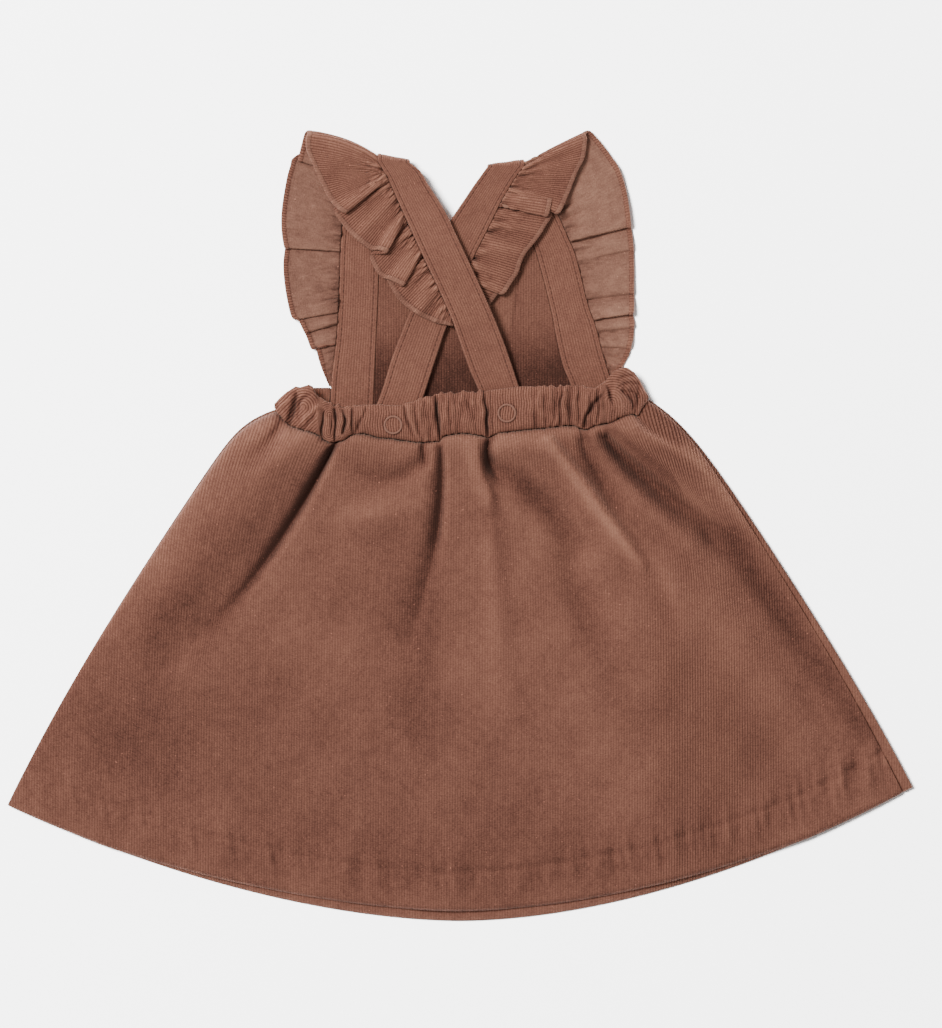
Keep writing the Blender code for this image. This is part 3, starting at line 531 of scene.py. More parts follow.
# one row for each fold: its start, middle and end as x and y, its height at those three,
# its width on the -X and on the +X side, how many times wider it is at its end, and its sharpness
skirtFolds = {
    "leftCrease": (-64.7, 44.8, -99.6, -15.1, -141.0, -64.9, -6.5, -3.0, -0.1, 2.0, 1.3, 2.2, 1.6),
    "leftSlope": (-65.7, 44.3, -100.2, -15.1, -149.5, -71.3, -1.0, -2.8, -0.6, 8.0, 1.6, 1.9, 2.0),
    "leftLip": (-57.2, 45.3, -93.3, -15.6, -145.8, -79.2, 0.3, 0.8, 0.3, 3.5, 11.0, 1.6, 2.0),
    "leftRim": (-84.8, 45.3, -117.7, 0.8, -171.7, -75.5, 1.0, 0.8, 0.3, 11.0, 9.0, 1.6, 2.0),
    "leftNick": (-93.8, 56.4, -101.2, 44.8, -114.5, 34.7, -4.5, -2.6, -0.5, 2.0, 2.6, 1.9, 1.6),
    "leftBrow": (-75.3, 47.4, -98.6, 33.7, -123.0, 10.9, 1.2, 1.3, 0.3, 4.0, 6.0, 1.4, 2.0),
    "leftHollow": (-57.2, 31.5, -38.2, 24.1, -19.1, 33.7, -0.3, -1.8, -2.2, 3.6, 5.4, 1.0, 2.0),
    "leftPillow": (-68.9, 6.1, -46.6, 6.1, -21.2, 11.9, 0.2, 2.0, 0.8, 7.0, 6.0, 1.0, 2.0),
    "leftDip": (-19.6, 46.4, -19.1, 40.5, -17.0, 29.4, -5.5, -4.2, -0.4, 1.6, 2.2, 1.5, 1.7),
    "centreCrease": (-10.1, 41.1, -11.7, -3.4, -26.5, -60.7, -3.2, -5.2, -0.8, 3.6, 1.3, 2.4, 1.6),
    "centreLip": (-5.3, 45.3, -6.9, -2.4, -22.3, -63.3, 0.3, 0.3, 0.2, 2.6, 10.0, 1.6, 2.0),
    "centreNotch": (15.9, 45.8, 15.4, 33.7, 24.4, 20.9, -6.0, -5.4, -0.4, 1.6, 3.0, 1.3, 1.7),
    "notchLip": (9.0, 45.3, 11.7, 27.3, 21.2, 7.2, 1.4, 2.2, 0.2, 6.0, 1.8, 1.0, 2.0),
    "notchKnob": (13.8, 17.8, 15.9, 13.5, 19.1, 9.3, 0.6, 1.8, 0.4, 3.4, 3.4, 1.0, 2.0),
    "centrePillow": (19.1, 41.1, 32.9, 41.6, 47.7, 39.0, 1.4, 2.2, 1.2, 5.0, 5.0, 1.0, 2.0),
    "centreFall": (15.9, -7.7, 19.1, -50.1, 21.2, -103.1, 0.6, 1.2, 0.4, 4.0, 7.0, 1.6, 2.0),
    "centreHollow": (18.0, 30.5, 41.3, 14.6, 62.5, -10.3, -3.4, -5.0, -2.4, 6.4, 6.4, 1.1, 2.0),
    "centreValley": (51.9, 10.3, 64.7, -39.5, 95.4, -103.1, -0.6, -3.4, -0.8, 8.0, 9.0, 1.5, 2.0),
    "rightRidge": (47.7, 45.3, 72.1, 13.5, 96.5, -20.4, 5.0, 7.0, 1.4, 3.8, 2.2, 1.3, 1.7),
    "ridgeEnd": (99.6, -10.9, 113.4, -35.2, 125.1, -62.8, 0.3, 2.6, 0.2, 3.6, 7.0, 1.4, 2.0),
    "rightTuck": (64.7, 44.3, 76.3, 22.0, 97.5, -1.3, -2.4, -3.6, -0.3, 3.0, 4.6, 1.5, 1.8),
    "tuckRidge": (71.0, 42.1, 94.3, 13.5, 127.2, -13.0, 0.4, 2.0, 0.6, 3.4, 3.4, 1.8, 2.0),
    "rightValley": (77.4, 46.4, 108.1, 17.8, 152.6, -14.0, -6.5, -9.5, -3.0, 4.2, 2.2, 1.8, 1.8),
    "valleyEnd": (135.7, -7.7, 173.8, -42.7, 218.4, -113.7, -4.0, -7.0, -2.2, 8.0, 9.0, 1.4, 2.0),
    "rightSwell": (120.8, -16.2, 150.5, -60.7, 194.0, -124.3, 1.6, 3.0, 1.0, 13.0, 9.0, 1.4, 2.0),
    "rightRim": (95.4, 53.8, 123.0, 35.8, 150.5, 1.9, 3.2, 4.4, 1.4, 6.0, 6.0, 1.4, 2.0),
    "nickLip": (94.3, 51.7, 103.9, 45.3, 123.0, 37.4, 0.6, 2.4, 0.8, 2.2, 1.6, 1.4, 2.0),
    "rightNick": (93.8, 58.6, 102.3, 49.0, 120.8, 41.1, -6.5, -4.6, -1.2, 2.0, 4.6, 1.6, 1.7),
    "rightSag": (176.0, -70.0, 190.0, -100.0, 203.0, -128.0, -0.6, -1.6, -0.6, 9.0, 8.0, 1.2, 2.0),
    "hemLeft": (-108.0, -90.0, -121.0, -140.0, -130.0, -186.0, 0.0, 1.2, 1.6, 20.0, 20.0, 1.0, 2.0),
    "hemMiddle": (-12.0, -110.0, -8.0, -150.0, -6.0, -202.0, 0.0, 1.3, 1.6, 24.0, 22.0, 1.0, 2.0),
    "hemRight": (92.0, -105.0, 104.0, -145.0, 114.0, -188.0, 0.0, 1.2, 1.6, 18.0, 20.0, 1.0, 2.0),
}


def frontHem(x):
    # hem height over x: the lowest point plus a power of the distance from the middle, a little tilted
    u = x / skirt["hemHalf"]
    curve = skirt["hemLow"] + skirt["hemRise"] * np.abs(u) ** skirt["hemPower"]
    return curve + skirt["hemTilt"] * u * np.abs(u)


def backHem(x):
    # the front hem and a parabola over it, which ends before the sides
    return frontHem(x) + skirt["backLift"] * np.clip(1.0 - (x / skirt["backHalf"]) ** 2, 0.0, 1.0)


def sideBulge(t, side):
    # how far a side seam lies outside the straight line from waist to hem: size * (1 - e ** (-t / start)),
    # times 1 - t cubed
    size = np.where(side < 0, *skirt["bulge"])
    start = np.where(side < 0, *skirt["bulgeStart"])
    return size * (1.0 - np.exp(-t / start)) * (1.0 - t ** 3)


def sideStrip(t):
    # how wide the front panel shows past the right side seam: a power of t, with a least width
    return np.maximum(skirt["stripTop"], skirt["strip"] * t ** 0.8)


def panelPlan(u, t, waistX, waistY, hemLine, inset):
    # plan of a panel: u runs -1 to 1 across it, t from 0 at the waist to 1 at the hem. Straight lines from
    # waist to hem, pushed out by the bulge towards the sides, and drawn in by the inset at the right
    hemX = skirt["hemHalf"] * u
    x = (1.0 - t) * waistX + t * hemX + np.sign(u) * np.abs(u) ** 3 * sideBulge(t, u)
    y = (1.0 - t) * waistY + t * hemLine(hemX)
    right = np.clip(u, 0.0, 1.0) ** 6 * inset
    return x - right, y - right * skirt["endSlope"] * t


# creases that take in cloth by the waist: place across the panel at the waist, its change towards the hem,
# and the width of cloth that it hides there
takenIn = [
    (-0.66, -0.20, 22.0), (-0.112, 0.05, 5.0), (0.125, 0.1, 7.0), (0.64, 0.42, 6.0), (0.76, 0.70, 12.0),
]

# broad soft painted shade, darker spots in the colour: middle x and y, reach across and along, and strength
paintedShadeSpots = [
    (-185.0, -100.0, 54.0, 50.0, -0.62), (-85.0, -100.0, 60.0, 48.0, -0.20),
    (0.0, -190.0, 320.0, 80.0, -0.32), (-24.0, -72.0, 14.0, 50.0, -0.50), (-40.0, 40.0, 28.0, 14.0, -0.30),
    (-48.0, -8.0, 26.0, 10.0, -0.20), (66.0, -50.0, 22.0, 34.0, -0.25), (43.0, 13.0, 16.0, 14.0, -0.25),
    (-8.0, -176.0, 110.0, 36.0, -0.25), (-42.0, -40.0, 24.0, 26.0, -0.30),
]

# soft painted light and painted shade along lines, given as in skirtFolds with strengths in place of heights
paintedLightLines = {
    "leftLip": (-59.9, 44.8, -94.9, -15.1, -142.0, -71.3, -0.35, -0.50, -0.40, 2.2, 3.6, 1.5, 2.0),
    "leftSide": (-84.8, 24.1, -118.7, -10.3, -153.7, -50.1, -0.20, -0.45, -0.35, 9.0, 7.0, 1.2, 2.0),
    "centreLip": (-5.8, 41.1, -7.4, -3.4, -22.3, -60.7, -0.20, -0.40, -0.30, 1.6, 4.5, 1.2, 2.0),
    "ridgeLight": (47.2, 44.3, 68.4, 14.0, 94.4, -18.8, 0.20, 0.80, 0.60, 2.8, 1.4, 1.3, 2.0),
    "nickLight": (96.5, 49.6, 108.1, 43.2, 128.3, 32.6, 0.20, 0.60, 0.50, 2.0, 2.0, 1.3, 2.0),
    "rightSide": (143.0, -5.0, 166.0, -42.0, 215.0, -108.0, -0.70, -1.05, -0.80, 7.0, 8.0, 1.2, 2.0),
    "rimLight": (120.0, 41.0, 142.0, 13.5, 157.0, -7.7, 0.60, 0.90, 0.40, 3.0, 4.0, 1.0, 2.0),
    "valleyShade": (77.5, 42.0, 100.7, 13.5, 128.0, -6.0, -0.80, -0.70, -0.30, 2.6, 2.4, 1.4, 2.0),
    "leftEdge": (-97.0, 44.0, -121.0, 8.0, -163.0, -56.0, -0.50, -0.50, -0.45, 9.0, 11.0, 1.2, 2.0),
}


def clothPlace(u, t, creases):
    # distance along the cloth from the middle to u: the plan's own width there, and all that is hidden in the
    # creases on the way, where each is a soft step (tanh) that fades down the panel
    total = skirt["waistHalf"] * (1.0 - t) * u + skirt["hemHalf"] * t * u
    total = total + np.sign(u) * np.abs(u) ** 3 * sideBulge(t, u)
    for place, drift, hidden in creases:
        at = place + drift * t
        share = np.exp(-skirt["length"] * t / skirt["takenReach"]) * hidden * 0.5
        total = total + share * (np.tanh((u - at) / skirt["takenWide"]) + np.tanh(at / skirt["takenWide"]))
    return total


def waleGrid(rows, hemRows, hemReach, waistY, hemLine, creases=()):
    # each column follows one line along the wales, w from -1 to 1 at the hem, at the same distance along the
    # cloth all the way up. Columns past the waist's width start on the side seam instead
    w = np.linspace(-1.0, 1.0, skirt["waleCount"] * skirt["waleSamples"] + 1)
    fine = np.linspace(0.0, 1.0, 800)
    target = skirt["hemHalf"] * w
    left = np.maximum.accumulate(-clothPlace(-np.ones_like(fine), fine, creases))
    right = np.maximum.accumulate(clothPlace(np.ones_like(fine), fine, creases))
    start = np.where(w < 0, np.interp(-target, left, fine), np.interp(target, right, fine))
    start[0] = start[-1] = 0.9995
    length = 1.0 - start
    tall = lookUp(waistY, skirt["waistMiddle"] + skirt["waistHalf"] * w) - hemLine(skirt["hemHalf"] * w)
    hemPart = np.minimum(hemReach / tall, 0.5 * length)
    upper = softLookUp(rowPlaces, np.linspace(0.0, 1.0, rows), 0.05)[:, None]
    upper = (upper - upper[0]) / (upper[-1] - upper[0])
    lower = np.linspace(0.0, 1.0, hemRows + 1)[1:, None]
    t = np.concatenate([start + (length - hemPart) * upper, 1.0 - hemPart * (1.0 - lower)])
    # halve the range of u until the cloth's distance agrees
    low, high = -np.ones_like(t), np.ones_like(t)
    for _ in range(26):
        middle = 0.5 * (low + high)
        over = clothPlace(middle, t, creases) > target
        low, high = np.where(over, low, middle), np.where(over, middle, high)
    u = 0.5 * (low + high)
    u[0] = np.where(start > 0.0, np.sign(w), u[0])
    count = np.broadcast_to((w + 1.0) * 0.5 * skirt["waleCount"], t.shape)
    return u, t, count


def backPanelHeight(x, y, u, t, belowSeam, aboveHem):
    # height of the back panel: it rises from the seam to a puff, which sinks towards the hem, and the folds
    # are added. It is rounded down at both sides, where the panel's half counts as 100 at the waist and as
    # 240 at the hem, and a soft maximum keeps it all above its lowest place
    sunk = np.exp(-belowSeam / skirt["puffReach"])
    rest = skirt["hemHeight"] + (skirt["puffHeight"] - skirt["hemHeight"]) * sunk
    rise = np.sqrt(1.0 - np.exp(-belowSeam / skirt["puffStart"]))
    soft = skirt["soft"] * unevenness(x, y, skirt["softSize"], 5) * smoothStep(belowSeam / 60.0)
    relief = addFolds(x, y, skirtFolds)
    seamed = skirt["seamHeight"] + 0.5 * np.maximum(relief, skirt["deepest"])
    height = seamed + (rest + relief + soft - seamed) * rise
    fromSide = (1.0 - np.abs(u)) * (100.0 + 140.0 * t)
    rounded = roundEdge(fromSide / np.where(u < 0, *skirt["edgeRound"]), np.where(u < 0, *skirt["edgeFall"]))
    height = skirt["edgeHeight"] + (height - skirt["edgeHeight"]) * rounded
    overBand = smoothStep((y - 36.0) / 5.0) * smoothStep((88.0 - np.abs(x)) / 8.0)
    lowest = skirt["edgeHeight"] + skirt["overBand"] * overBand
    height = lowest + np.logaddexp(0.0, (height - lowest) * skirt["floorEase"]) / skirt["floorEase"]
    # sewn hem: a groove along the stitches, small puckers on both sides of it, and a rounded edge
    aboveRow = aboveHem - skirt["hemDeep"]
    groove = bell(aboveRow / skirt["grooveWide"])
    near = bell((aboveRow + 3.0) / skirt["puckerWide"])
    drag = unevenness(x, y * 0.25, 15.0, 11) + 0.5 * unevenness(x, y * 0.25, 6.0, 12)
    more = 0.60 + 0.60 * smoothStep((x - 30.0) / 90.0)
    height = height - skirt["hemGroove"] * groove + skirt["pucker"] * near * drag * more
    return height - skirt["hemDrop"] * (1.0 - roundEdge(aboveHem / skirt["hemRound"]))


def foldShade(surface, normal=None):
    # painted shade and light: lighter on ridges and darker in creases, by height less the mean height of a
    # window of 15 rows and 49 columns. It also paints darker the slopes that face away from the key lamp,
    # right and down
    z = surface[..., 2]
    tall, wide = 15, 49
    padded = np.pad(z, ((tall // 2, tall // 2), (wide // 2, wide // 2)), mode="edge")
    total = np.cumsum(np.cumsum(np.pad(padded, ((1, 0), (1, 0))), axis=0), axis=1)
    window = total[tall:, wide:] - total[:-tall, wide:] - total[tall:, :-wide] + total[:-tall, :-wide]
    shade = np.clip((z - window / (tall * wide)) / 2.2, -1.2, 0.9) * 0.6
    if normal is not None:
        shade = shade + np.clip(skirt["litX"] * normal[..., 0] + skirt["litY"] * normal[..., 1], -1.0, 0.08)
    return shade


def makeBackPanel():
    # the smooth panel from its plan and height, with the wales raised along its normals. Returns the stitch
    # line of the hem too
    rows, hemRows, hemZone = skirt["backRows"]
    u, t, count = waleGrid(rows, hemRows, hemZone, waistSeam, backHem, takenIn)
    waistX = skirt["waistMiddle"] + skirt["waistHalf"] * u
    seam = softLookUp(waistSeam, waistX, 0.8) - 0.6 * gap + 0.18 * unevenness(waistX, 0.0 * waistX, 3.2, 8)
    x, y = panelPlan(u, t, waistX, seam, backHem, sideStrip(t))
    length = seam - backHem(skirt["hemHalf"] * u)
    belowSeam, aboveHem = t * length, (1.0 - t) * length
    z = backPanelHeight(x, y, u, t, belowSeam, aboveHem)
    back = np.stack([x, y, z - skirt["cloth"]], axis=-1)
    smooth = np.stack([x, y, z], axis=-1)
    # the pile is low where a crease crowds its ribs
    spacing = np.clip(np.gradient(x, axis=1) * skirt["waleSamples"] / wale, 0.0, 1.0)
    pile = waleProfile(count) * skirt["waleHeight"] * spacing ** 2 * smoothStep((1.0 - np.abs(u)) * 120.0)
    normal = normalsOf(smooth)
    normal = normal * np.sign(normal[..., 2:])
    face = smooth + pile[..., None] * normal
    # painted shade and light: the folds' shade, darker where a crease crowds the ribs, then painted spots and
    # lines
    shade = foldShade(smooth, normal) - 1.3 * (1.0 - spacing) * smoothStep(belowSeam / 3.0)
    for middleX, middleY, reachX, reachY, strength in paintedShadeSpots:
        shade = shade + strength * np.exp(-((x - middleX) / reachX) ** 2 - ((y - middleY) / reachY) ** 2)
    shade = shade + addFolds(x, y, paintedLightLines)
    cloth = np.stack([count, aboveHem / wale], axis=-1)
    piece = clothSheet("skirt_back_cloth", face, back, cloth, skirtCloth, shade, 2, skirt["waleSamples"])
    # the hem's stitch line, at a fixed place between two of the even rows of the hem
    place = len(face) - 1 - skirt["hemDeep"] / hemZone * hemRows
    k = int(place)
    line = smooth[k] + (smooth[k + 1] - smooth[k]) * (place - k)
    whole = length[-1] * (1.0 - t[0]) > 2.2 * hemZone
    return piece, [(line[whole], normal[k][whole])]


def makeFrontPanel():
    # flat on the surface, with wales straight up; only its hem and the strip past the right side seam show,
    # and that strip rises beside the back panel
    u, t, count = waleGrid(*skirt["frontRows"], frontBand["edges"], frontHem)
    waistX = skirt["waistMiddle"] + (skirt["waistHalf"] + 0.5) * u
    waistY = lookUp(frontBand["edges"], waistX) - 0.3 * gap
    x, y = panelPlan(u, t, waistX, waistY, frontHem, 0.0)
    fromSide = (1.0 - np.abs(u)) * (skirt["waistHalf"] * (1.0 - t) + skirt["hemHalf"] * t)
    rise = smoothStep((sideStrip(t) - 0.4 - fromSide) / 0.8) * smoothStep(t * 3.0) * (u > 0)
    aboveHem = (1.0 - t) * (waistY - frontHem(skirt["hemHalf"] * u))
    z = skirt["cloth"] + (skirt["edgeHeight"] - skirt["cloth"] - 0.3) * rise
    z = z - 0.8 * (1.0 - roundEdge(aboveHem / 1.6)) + waleProfile(count) * 0.2
    face = np.stack([x, y, z], axis=-1)
    back = np.stack([x, y, np.zeros_like(x)], axis=-1)
    cloth = np.stack([count, aboveHem / wale], axis=-1)
    return clothSheet("skirt_front_cloth", face, back, cloth, skirtCloth, columnStep=skirt["waleSamples"])


# the front waistband; its edges are rows of x, lower and upper edge, with a step where the left strap starts
frontBand = {
    "edges": [
        (-97.5, 61.5, 62.0), (-90.0, 56.0, 66.0), (-84.0, 52.8, 71.5), (-77.0, 49.5, 73.0),
        (-69.35, 47.2, 73.0), (-69.15, 47.1, 59.0), (-60.0, 44.0, 58.0), (-30.0, 42.0, 57.5),
        (0.0, 41.5, 58.5), (30.0, 44.0, 61.0), (60.0, 48.5, 65.0), (80.0, 54.5, 68.0), (92.0, 61.0, 69.0),
        (100.0, 66.5, 67.2),
    ],
    "step": (-69.35, -69.15), "ends": (-97.0, 99.4), "rows": 9, "columns": 560,
    "thick": 2.9, "waleHeight": 0.2,
}

backBand = {
    "ends": (-98.2, 99.4), "columns": 1050, "ring": 84,
    "bottom": 6.7, "puff": 7.3,               # underside and thickness in the middle,
    "endBottom": 3.5, "endPuff": 3.0,         # and at both ends
    "tips": (-98.6, 100.2), "tipReach": 26.0,
    "flat": [(-36.0, 15.0), (26.0, 12.5)],    # stretches by the snaps without bumps: middle, half length
    "foldStrength": 0.8, "scallop": 0.8, "waleHeight": 0.36,
}

snaps = {
    "left": (-35.2, 53.0), "right": (24.7, 59.2),
    "radius": 4.45, "wire": 0.5, "proud": 0.5, "rounds": 96, "sides": 12,
    "groove": 4.75, "grooveWide": 0.85,       # radius and width of a ring of painted shade round it in the cloth
}

# x and y of the back waistband's upper edge, with the roll at each side
waistTop = [
    (-99.0, 63.6), (-95.9, 67.0), (-91.5, 70.7), (-86.8, 73.6), (-84.4, 73.0), (-82.4, 73.6), (-79.7, 74.4),
    (-77.6, 73.4), (-76.3, 70.6), (-75.3, 68.6), (-72.9, 66.9), (-71.2, 66.0), (-69.5, 65.3), (-67.5, 64.6),
    (-65.2, 63.8), (-61.5, 62.6), (-59.4, 62.8), (-56.0, 63.4), (-51.3, 63.6), (-42.8, 64.0), (-36.2, 63.4),
    (-30.7, 63.6), (-28.4, 64.8), (-24.5, 65.4), (-21.8, 66.9), (-12.9, 69.2), (-10.5, 70.2), (-5.1, 70.4),
    (-1.2, 70.2), (1.9, 71.0), (5.3, 70.6), (15.9, 71.5), (31.8, 73.4), (45.1, 73.7), (55.7, 73.8),
    (58.4, 74.5), (61.7, 73.9), (65.8, 73.6), (70.2, 72.4), (73.9, 74.5), (76.6, 76.3), (79.0, 79.3),
    (81.4, 81.6), (84.0, 82.9), (87.1, 83.5), (88.8, 83.3), (92.2, 80.8), (94.5, 77.6), (95.9, 74.9),
    (98.3, 70.8), (99.6, 68.3),
]

# gathers and folds of the waistband, as in skirtFolds
bandFolds = {
    "rollHollow": (-90.6, 52.6, -88.2, 60.2, -86.2, 68.6, -4.8, -5.2, -3.4, 1.1, 1.9, 1.0, 1.7),
    "rollOuter": (-95.9, 61.2, -91.2, 65.5, -85.9, 68.6, 0.6, 1.0, 0.4, 1.0, 1.0, 1.0, 2.0),
    "rollFan": (-85.4, 58.2, -84.0, 65.5, -79.0, 68.8, -1.0, -2.2, -1.0, 0.8, 1.0, 1.0, 2.0),
    "rollRidge": (-85.8, 51.4, -79.0, 59.1, -71.2, 65.3, 0.9, 1.5, 0.5, 1.1, 1.1, 1.0, 2.0),
    "rollValley": (-82.7, 50.6, -77.9, 55.9, -74.2, 60.7, -1.2, -2.2, -1.0, 0.9, 0.9, 1.0, 2.0),
    "rollRidge2": (-80.6, 50.6, -76.3, 57.0, -72.6, 62.8, 0.8, 1.3, 0.7, 1.0, 1.0, 1.0, 2.0),
    "slitOne": (-72.6, 46.1, -72.8, 51.7, -71.5, 60.2, -3.6, -3.6, -2.0, 0.6, 0.6, 1.0, 1.5),
    "ovalSplit": (-67.5, 46.9, -67.7, 53.3, -68.2, 60.2, -0.6, -1.1, -0.6, 0.5, 0.5, 1.0, 1.8),
    "slitTwo": (-66.0, 44.8, -65.6, 53.3, -66.0, 61.7, -2.6, -3.0, -2.6, 0.6, 0.5, 1.0, 1.6),
    "slitThree": (-61.8, 48.4, -60.7, 53.5, -61.4, 60.7, -2.6, -3.6, -2.2, 0.6, 0.6, 1.0, 1.5),
    "slitFour": (-56.0, 48.5, -56.9, 53.8, -56.7, 62.3, -1.4, -2.0, -1.6, 0.6, 0.6, 1.0, 1.8),
    "slitFive": (-54.5, 49.6, -52.2, 55.4, -49.4, 61.7, -1.4, -1.5, -1.0, 0.8, 0.8, 1.0, 2.0),
    "foldOne": (-22.8, 44.8, -27.0, 53.3, -29.4, 63.3, -1.0, -2.2, -2.6, 0.8, 0.9, 1.0, 1.8),
    "foldOneTop": (-21.4, 44.8, -25.4, 53.3, -27.6, 63.8, 0.9, 1.1, 1.2, 1.4, 1.6, 1.3, 2.0),
    "foldOneEast": (-19.6, 44.8, -22.4, 53.3, -23.6, 64.4, -1.2, -1.8, -1.2, 0.8, 0.9, 1.0, 1.8),
    "panelDark": (-14.8, 45.3, -17.0, 55.9, -19.1, 66.0, -1.1, -1.3, -0.8, 1.6, 1.6, 1.0, 2.0),
    "deepOne": (-10.2, 45.3, -11.7, 57.0, -12.9, 68.1, -4.6, -4.4, -3.8, 0.9, 0.8, 1.0, 1.6),
    "midA": (-4.2, 48.5, -5.3, 59.1, -5.8, 69.2, -0.7, -0.8, -0.6, 1.0, 1.0, 1.0, 2.0),
    "midB": (0.5, 49.0, 0.0, 59.1, -0.5, 69.7, -0.6, -0.7, -0.6, 1.1, 1.1, 1.0, 2.0),
    "midC": (9.5, 48.5, 5.8, 61.2, 2.3, 69.4, -1.0, -1.1, -0.6, 0.9, 0.9, 1.0, 2.0),
    "deepTwo": (14.6, 46.4, 14.0, 58.6, 12.7, 70.8, -4.4, -4.0, -3.4, 0.9, 0.8, 1.0, 1.6),
    "afterTwo": (17.5, 48.5, 17.0, 59.1, 15.9, 70.8, -0.8, -0.8, -0.6, 0.8, 0.8, 1.0, 2.0),
    "rightA": (40.3, 51.7, 39.8, 62.3, 40.8, 72.9, -1.0, -1.1, -0.9, 0.9, 0.9, 1.0, 2.0),
    "rightB": (45.6, 52.2, 44.5, 62.3, 44.0, 72.9, -1.0, -1.2, -0.8, 0.8, 0.8, 1.0, 2.0),
    "rightC": (48.8, 52.2, 50.4, 62.3, 51.4, 73.4, -1.1, -1.2, -1.2, 0.9, 0.9, 1.0, 2.0),
    "rightD": (53.0, 52.7, 53.0, 63.3, 54.1, 73.4, -2.4, -2.6, -1.9, 0.8, 0.8, 1.0, 1.8),
    "darkPanel": (58.3, 53.3, 57.8, 63.9, 58.3, 73.4, -1.7, -1.9, -1.5, 1.3, 1.3, 1.0, 2.2),
    "rightF": (62.8, 53.3, 62.8, 63.9, 62.5, 72.9, -1.1, -1.4, -1.2, 0.8, 0.8, 1.0, 2.0),
    "rightG": (65.7, 52.2, 68.2, 60.7, 74.9, 68.2, -3.4, -3.8, -2.0, 0.9, 1.0, 1.0, 1.7),
    "rightH": (72.6, 54.3, 73.1, 62.3, 72.6, 71.8, -1.6, -1.6, -1.4, 0.9, 0.9, 1.0, 2.0),
    "smallSlit": (80.3, 64.8, 79.3, 69.5, 77.3, 73.1, -1.8, -2.8, -1.6, 0.7, 0.7, 1.0, 1.8),
    "bulge": (85.0, 60.0, 84.6, 66.0, 82.6, 70.6, 0.8, 1.2, 0.6, 3.2, 3.0, 1.0, 2.0),
    "bulgeEdge": (91.5, 61.7, 90.5, 66.1, 85.3, 71.5, -2.0, -2.4, -1.6, 0.9, 0.9, 1.0, 1.8),
    "rollCrease": (92.9, 59.4, 93.8, 66.1, 94.9, 75.0, -1.8, -1.8, -1.0, 0.8, 0.8, 1.0, 1.8),
    "rollTopA": (83.2, 72.9, 88.0, 75.0, 93.8, 75.0, -1.2, -1.4, -0.8, 0.8, 0.8, 1.0, 2.0),
    "rollTopB": (83.2, 76.6, 87.5, 79.0, 92.2, 78.7, -0.9, -1.1, -0.6, 0.8, 0.8, 1.0, 2.0),
    "rollSideA": (86.4, 70.8, 90.6, 70.8, 93.8, 68.1, -1.0, -1.2, -0.7, 0.8, 0.8, 1.0, 2.0),
}

# where the band's wales crowd together: x, wales a millimetre
bandCrowd = [
    (-99.0, 1.05), (-86.0, 1.00), (-72.0, 0.95), (-56.0, 0.90), (-50.0, 0.74), (-32.0, 0.73), (-28.0, 0.85),
    (-12.0, 0.85), (16.0, 0.80), (20.0, 0.73), (38.0, 0.73), (44.0, 0.85), (60.0, 0.90), (80.0, 0.95),
    (100.0, 1.05),
]

# loops of cloth: both ends of the middle line that its wales run round, wale spacing,
# from x to x, and how softly they begin
bandLoops = [
    (-94.5, 50.5, -82.4, 62.6, 1.4, -120.0, -74.2, 1.6), (80.2, 50.0, 80.2, 65.0, 1.35, 75.6, 120.0, 2.4),
    (-69.0, 48.5, -68.6, 58.6, 1.1, -72.8, -66.2, 0.8), (-64.6, 47.5, -62.4, 60.5, 1.0, -66.0, -61.4, 0.8),
    (-59.0, 51.0, -58.2, 60.5, 1.0, -60.8, -56.8, 0.8),
]


def bandSection(x):
    # middle, half width, underside and thickness of the back waistband at x; it thins out towards both tips
    low = lookUp(waistSeam, x)
    high = lookUp(waistTop, x)
    west, east = backBand["tips"]
    end = smoothStep((x - west) / backBand["tipReach"]) * smoothStep((east - x) / backBand["tipReach"])
    bottom = backBand["endBottom"] + (backBand["bottom"] - backBand["endBottom"]) * end
    puff = backBand["endPuff"] + (backBand["puff"] - backBand["endPuff"]) * np.sqrt(end)
    return 0.5 * (low + high), 0.5 * (high - low), bottom, puff


def bandTop(x, y):
    # height of the band's upper side, away from the gathers: an arch over its width
    middle, half, bottom, puff = bandSection(x)
    off = np.clip(np.abs(y - middle) / half, 0.0, 1.0) ** 1.25
    return bottom + puff * (0.5 + 0.5 * (1.0 - off ** 2) ** 0.35)


def bandWales(x, column, y):
    # count of the wales at each point: how they crowd, summed along x. In the rolls at both ends and in the
    # small loops they run round a middle line instead: the distance from it over their spacing
    crowd = np.concatenate([[0.0], np.cumsum(np.diff(x) * lookUp(bandCrowd, 0.5 * (x[1:] + x[:-1])))])
    count = np.broadcast_to(crowd[:, None], column.shape)
    for startX, startY, endX, endY, spacing, west, east, soft in bandLoops:
        runX, runY = endX - startX, endY - startY
        at = np.clip(((column - startX) * runX + (y - startY) * runY) / (runX ** 2 + runY ** 2), 0.0, 1.0)
        around = np.hypot(column - startX - at * runX, y - startY - at * runY) / spacing
        share = smoothStep((column - west) / soft + 0.5) * smoothStep((east - column) / soft + 0.5)
        count = count + (around - count) * share
    return count


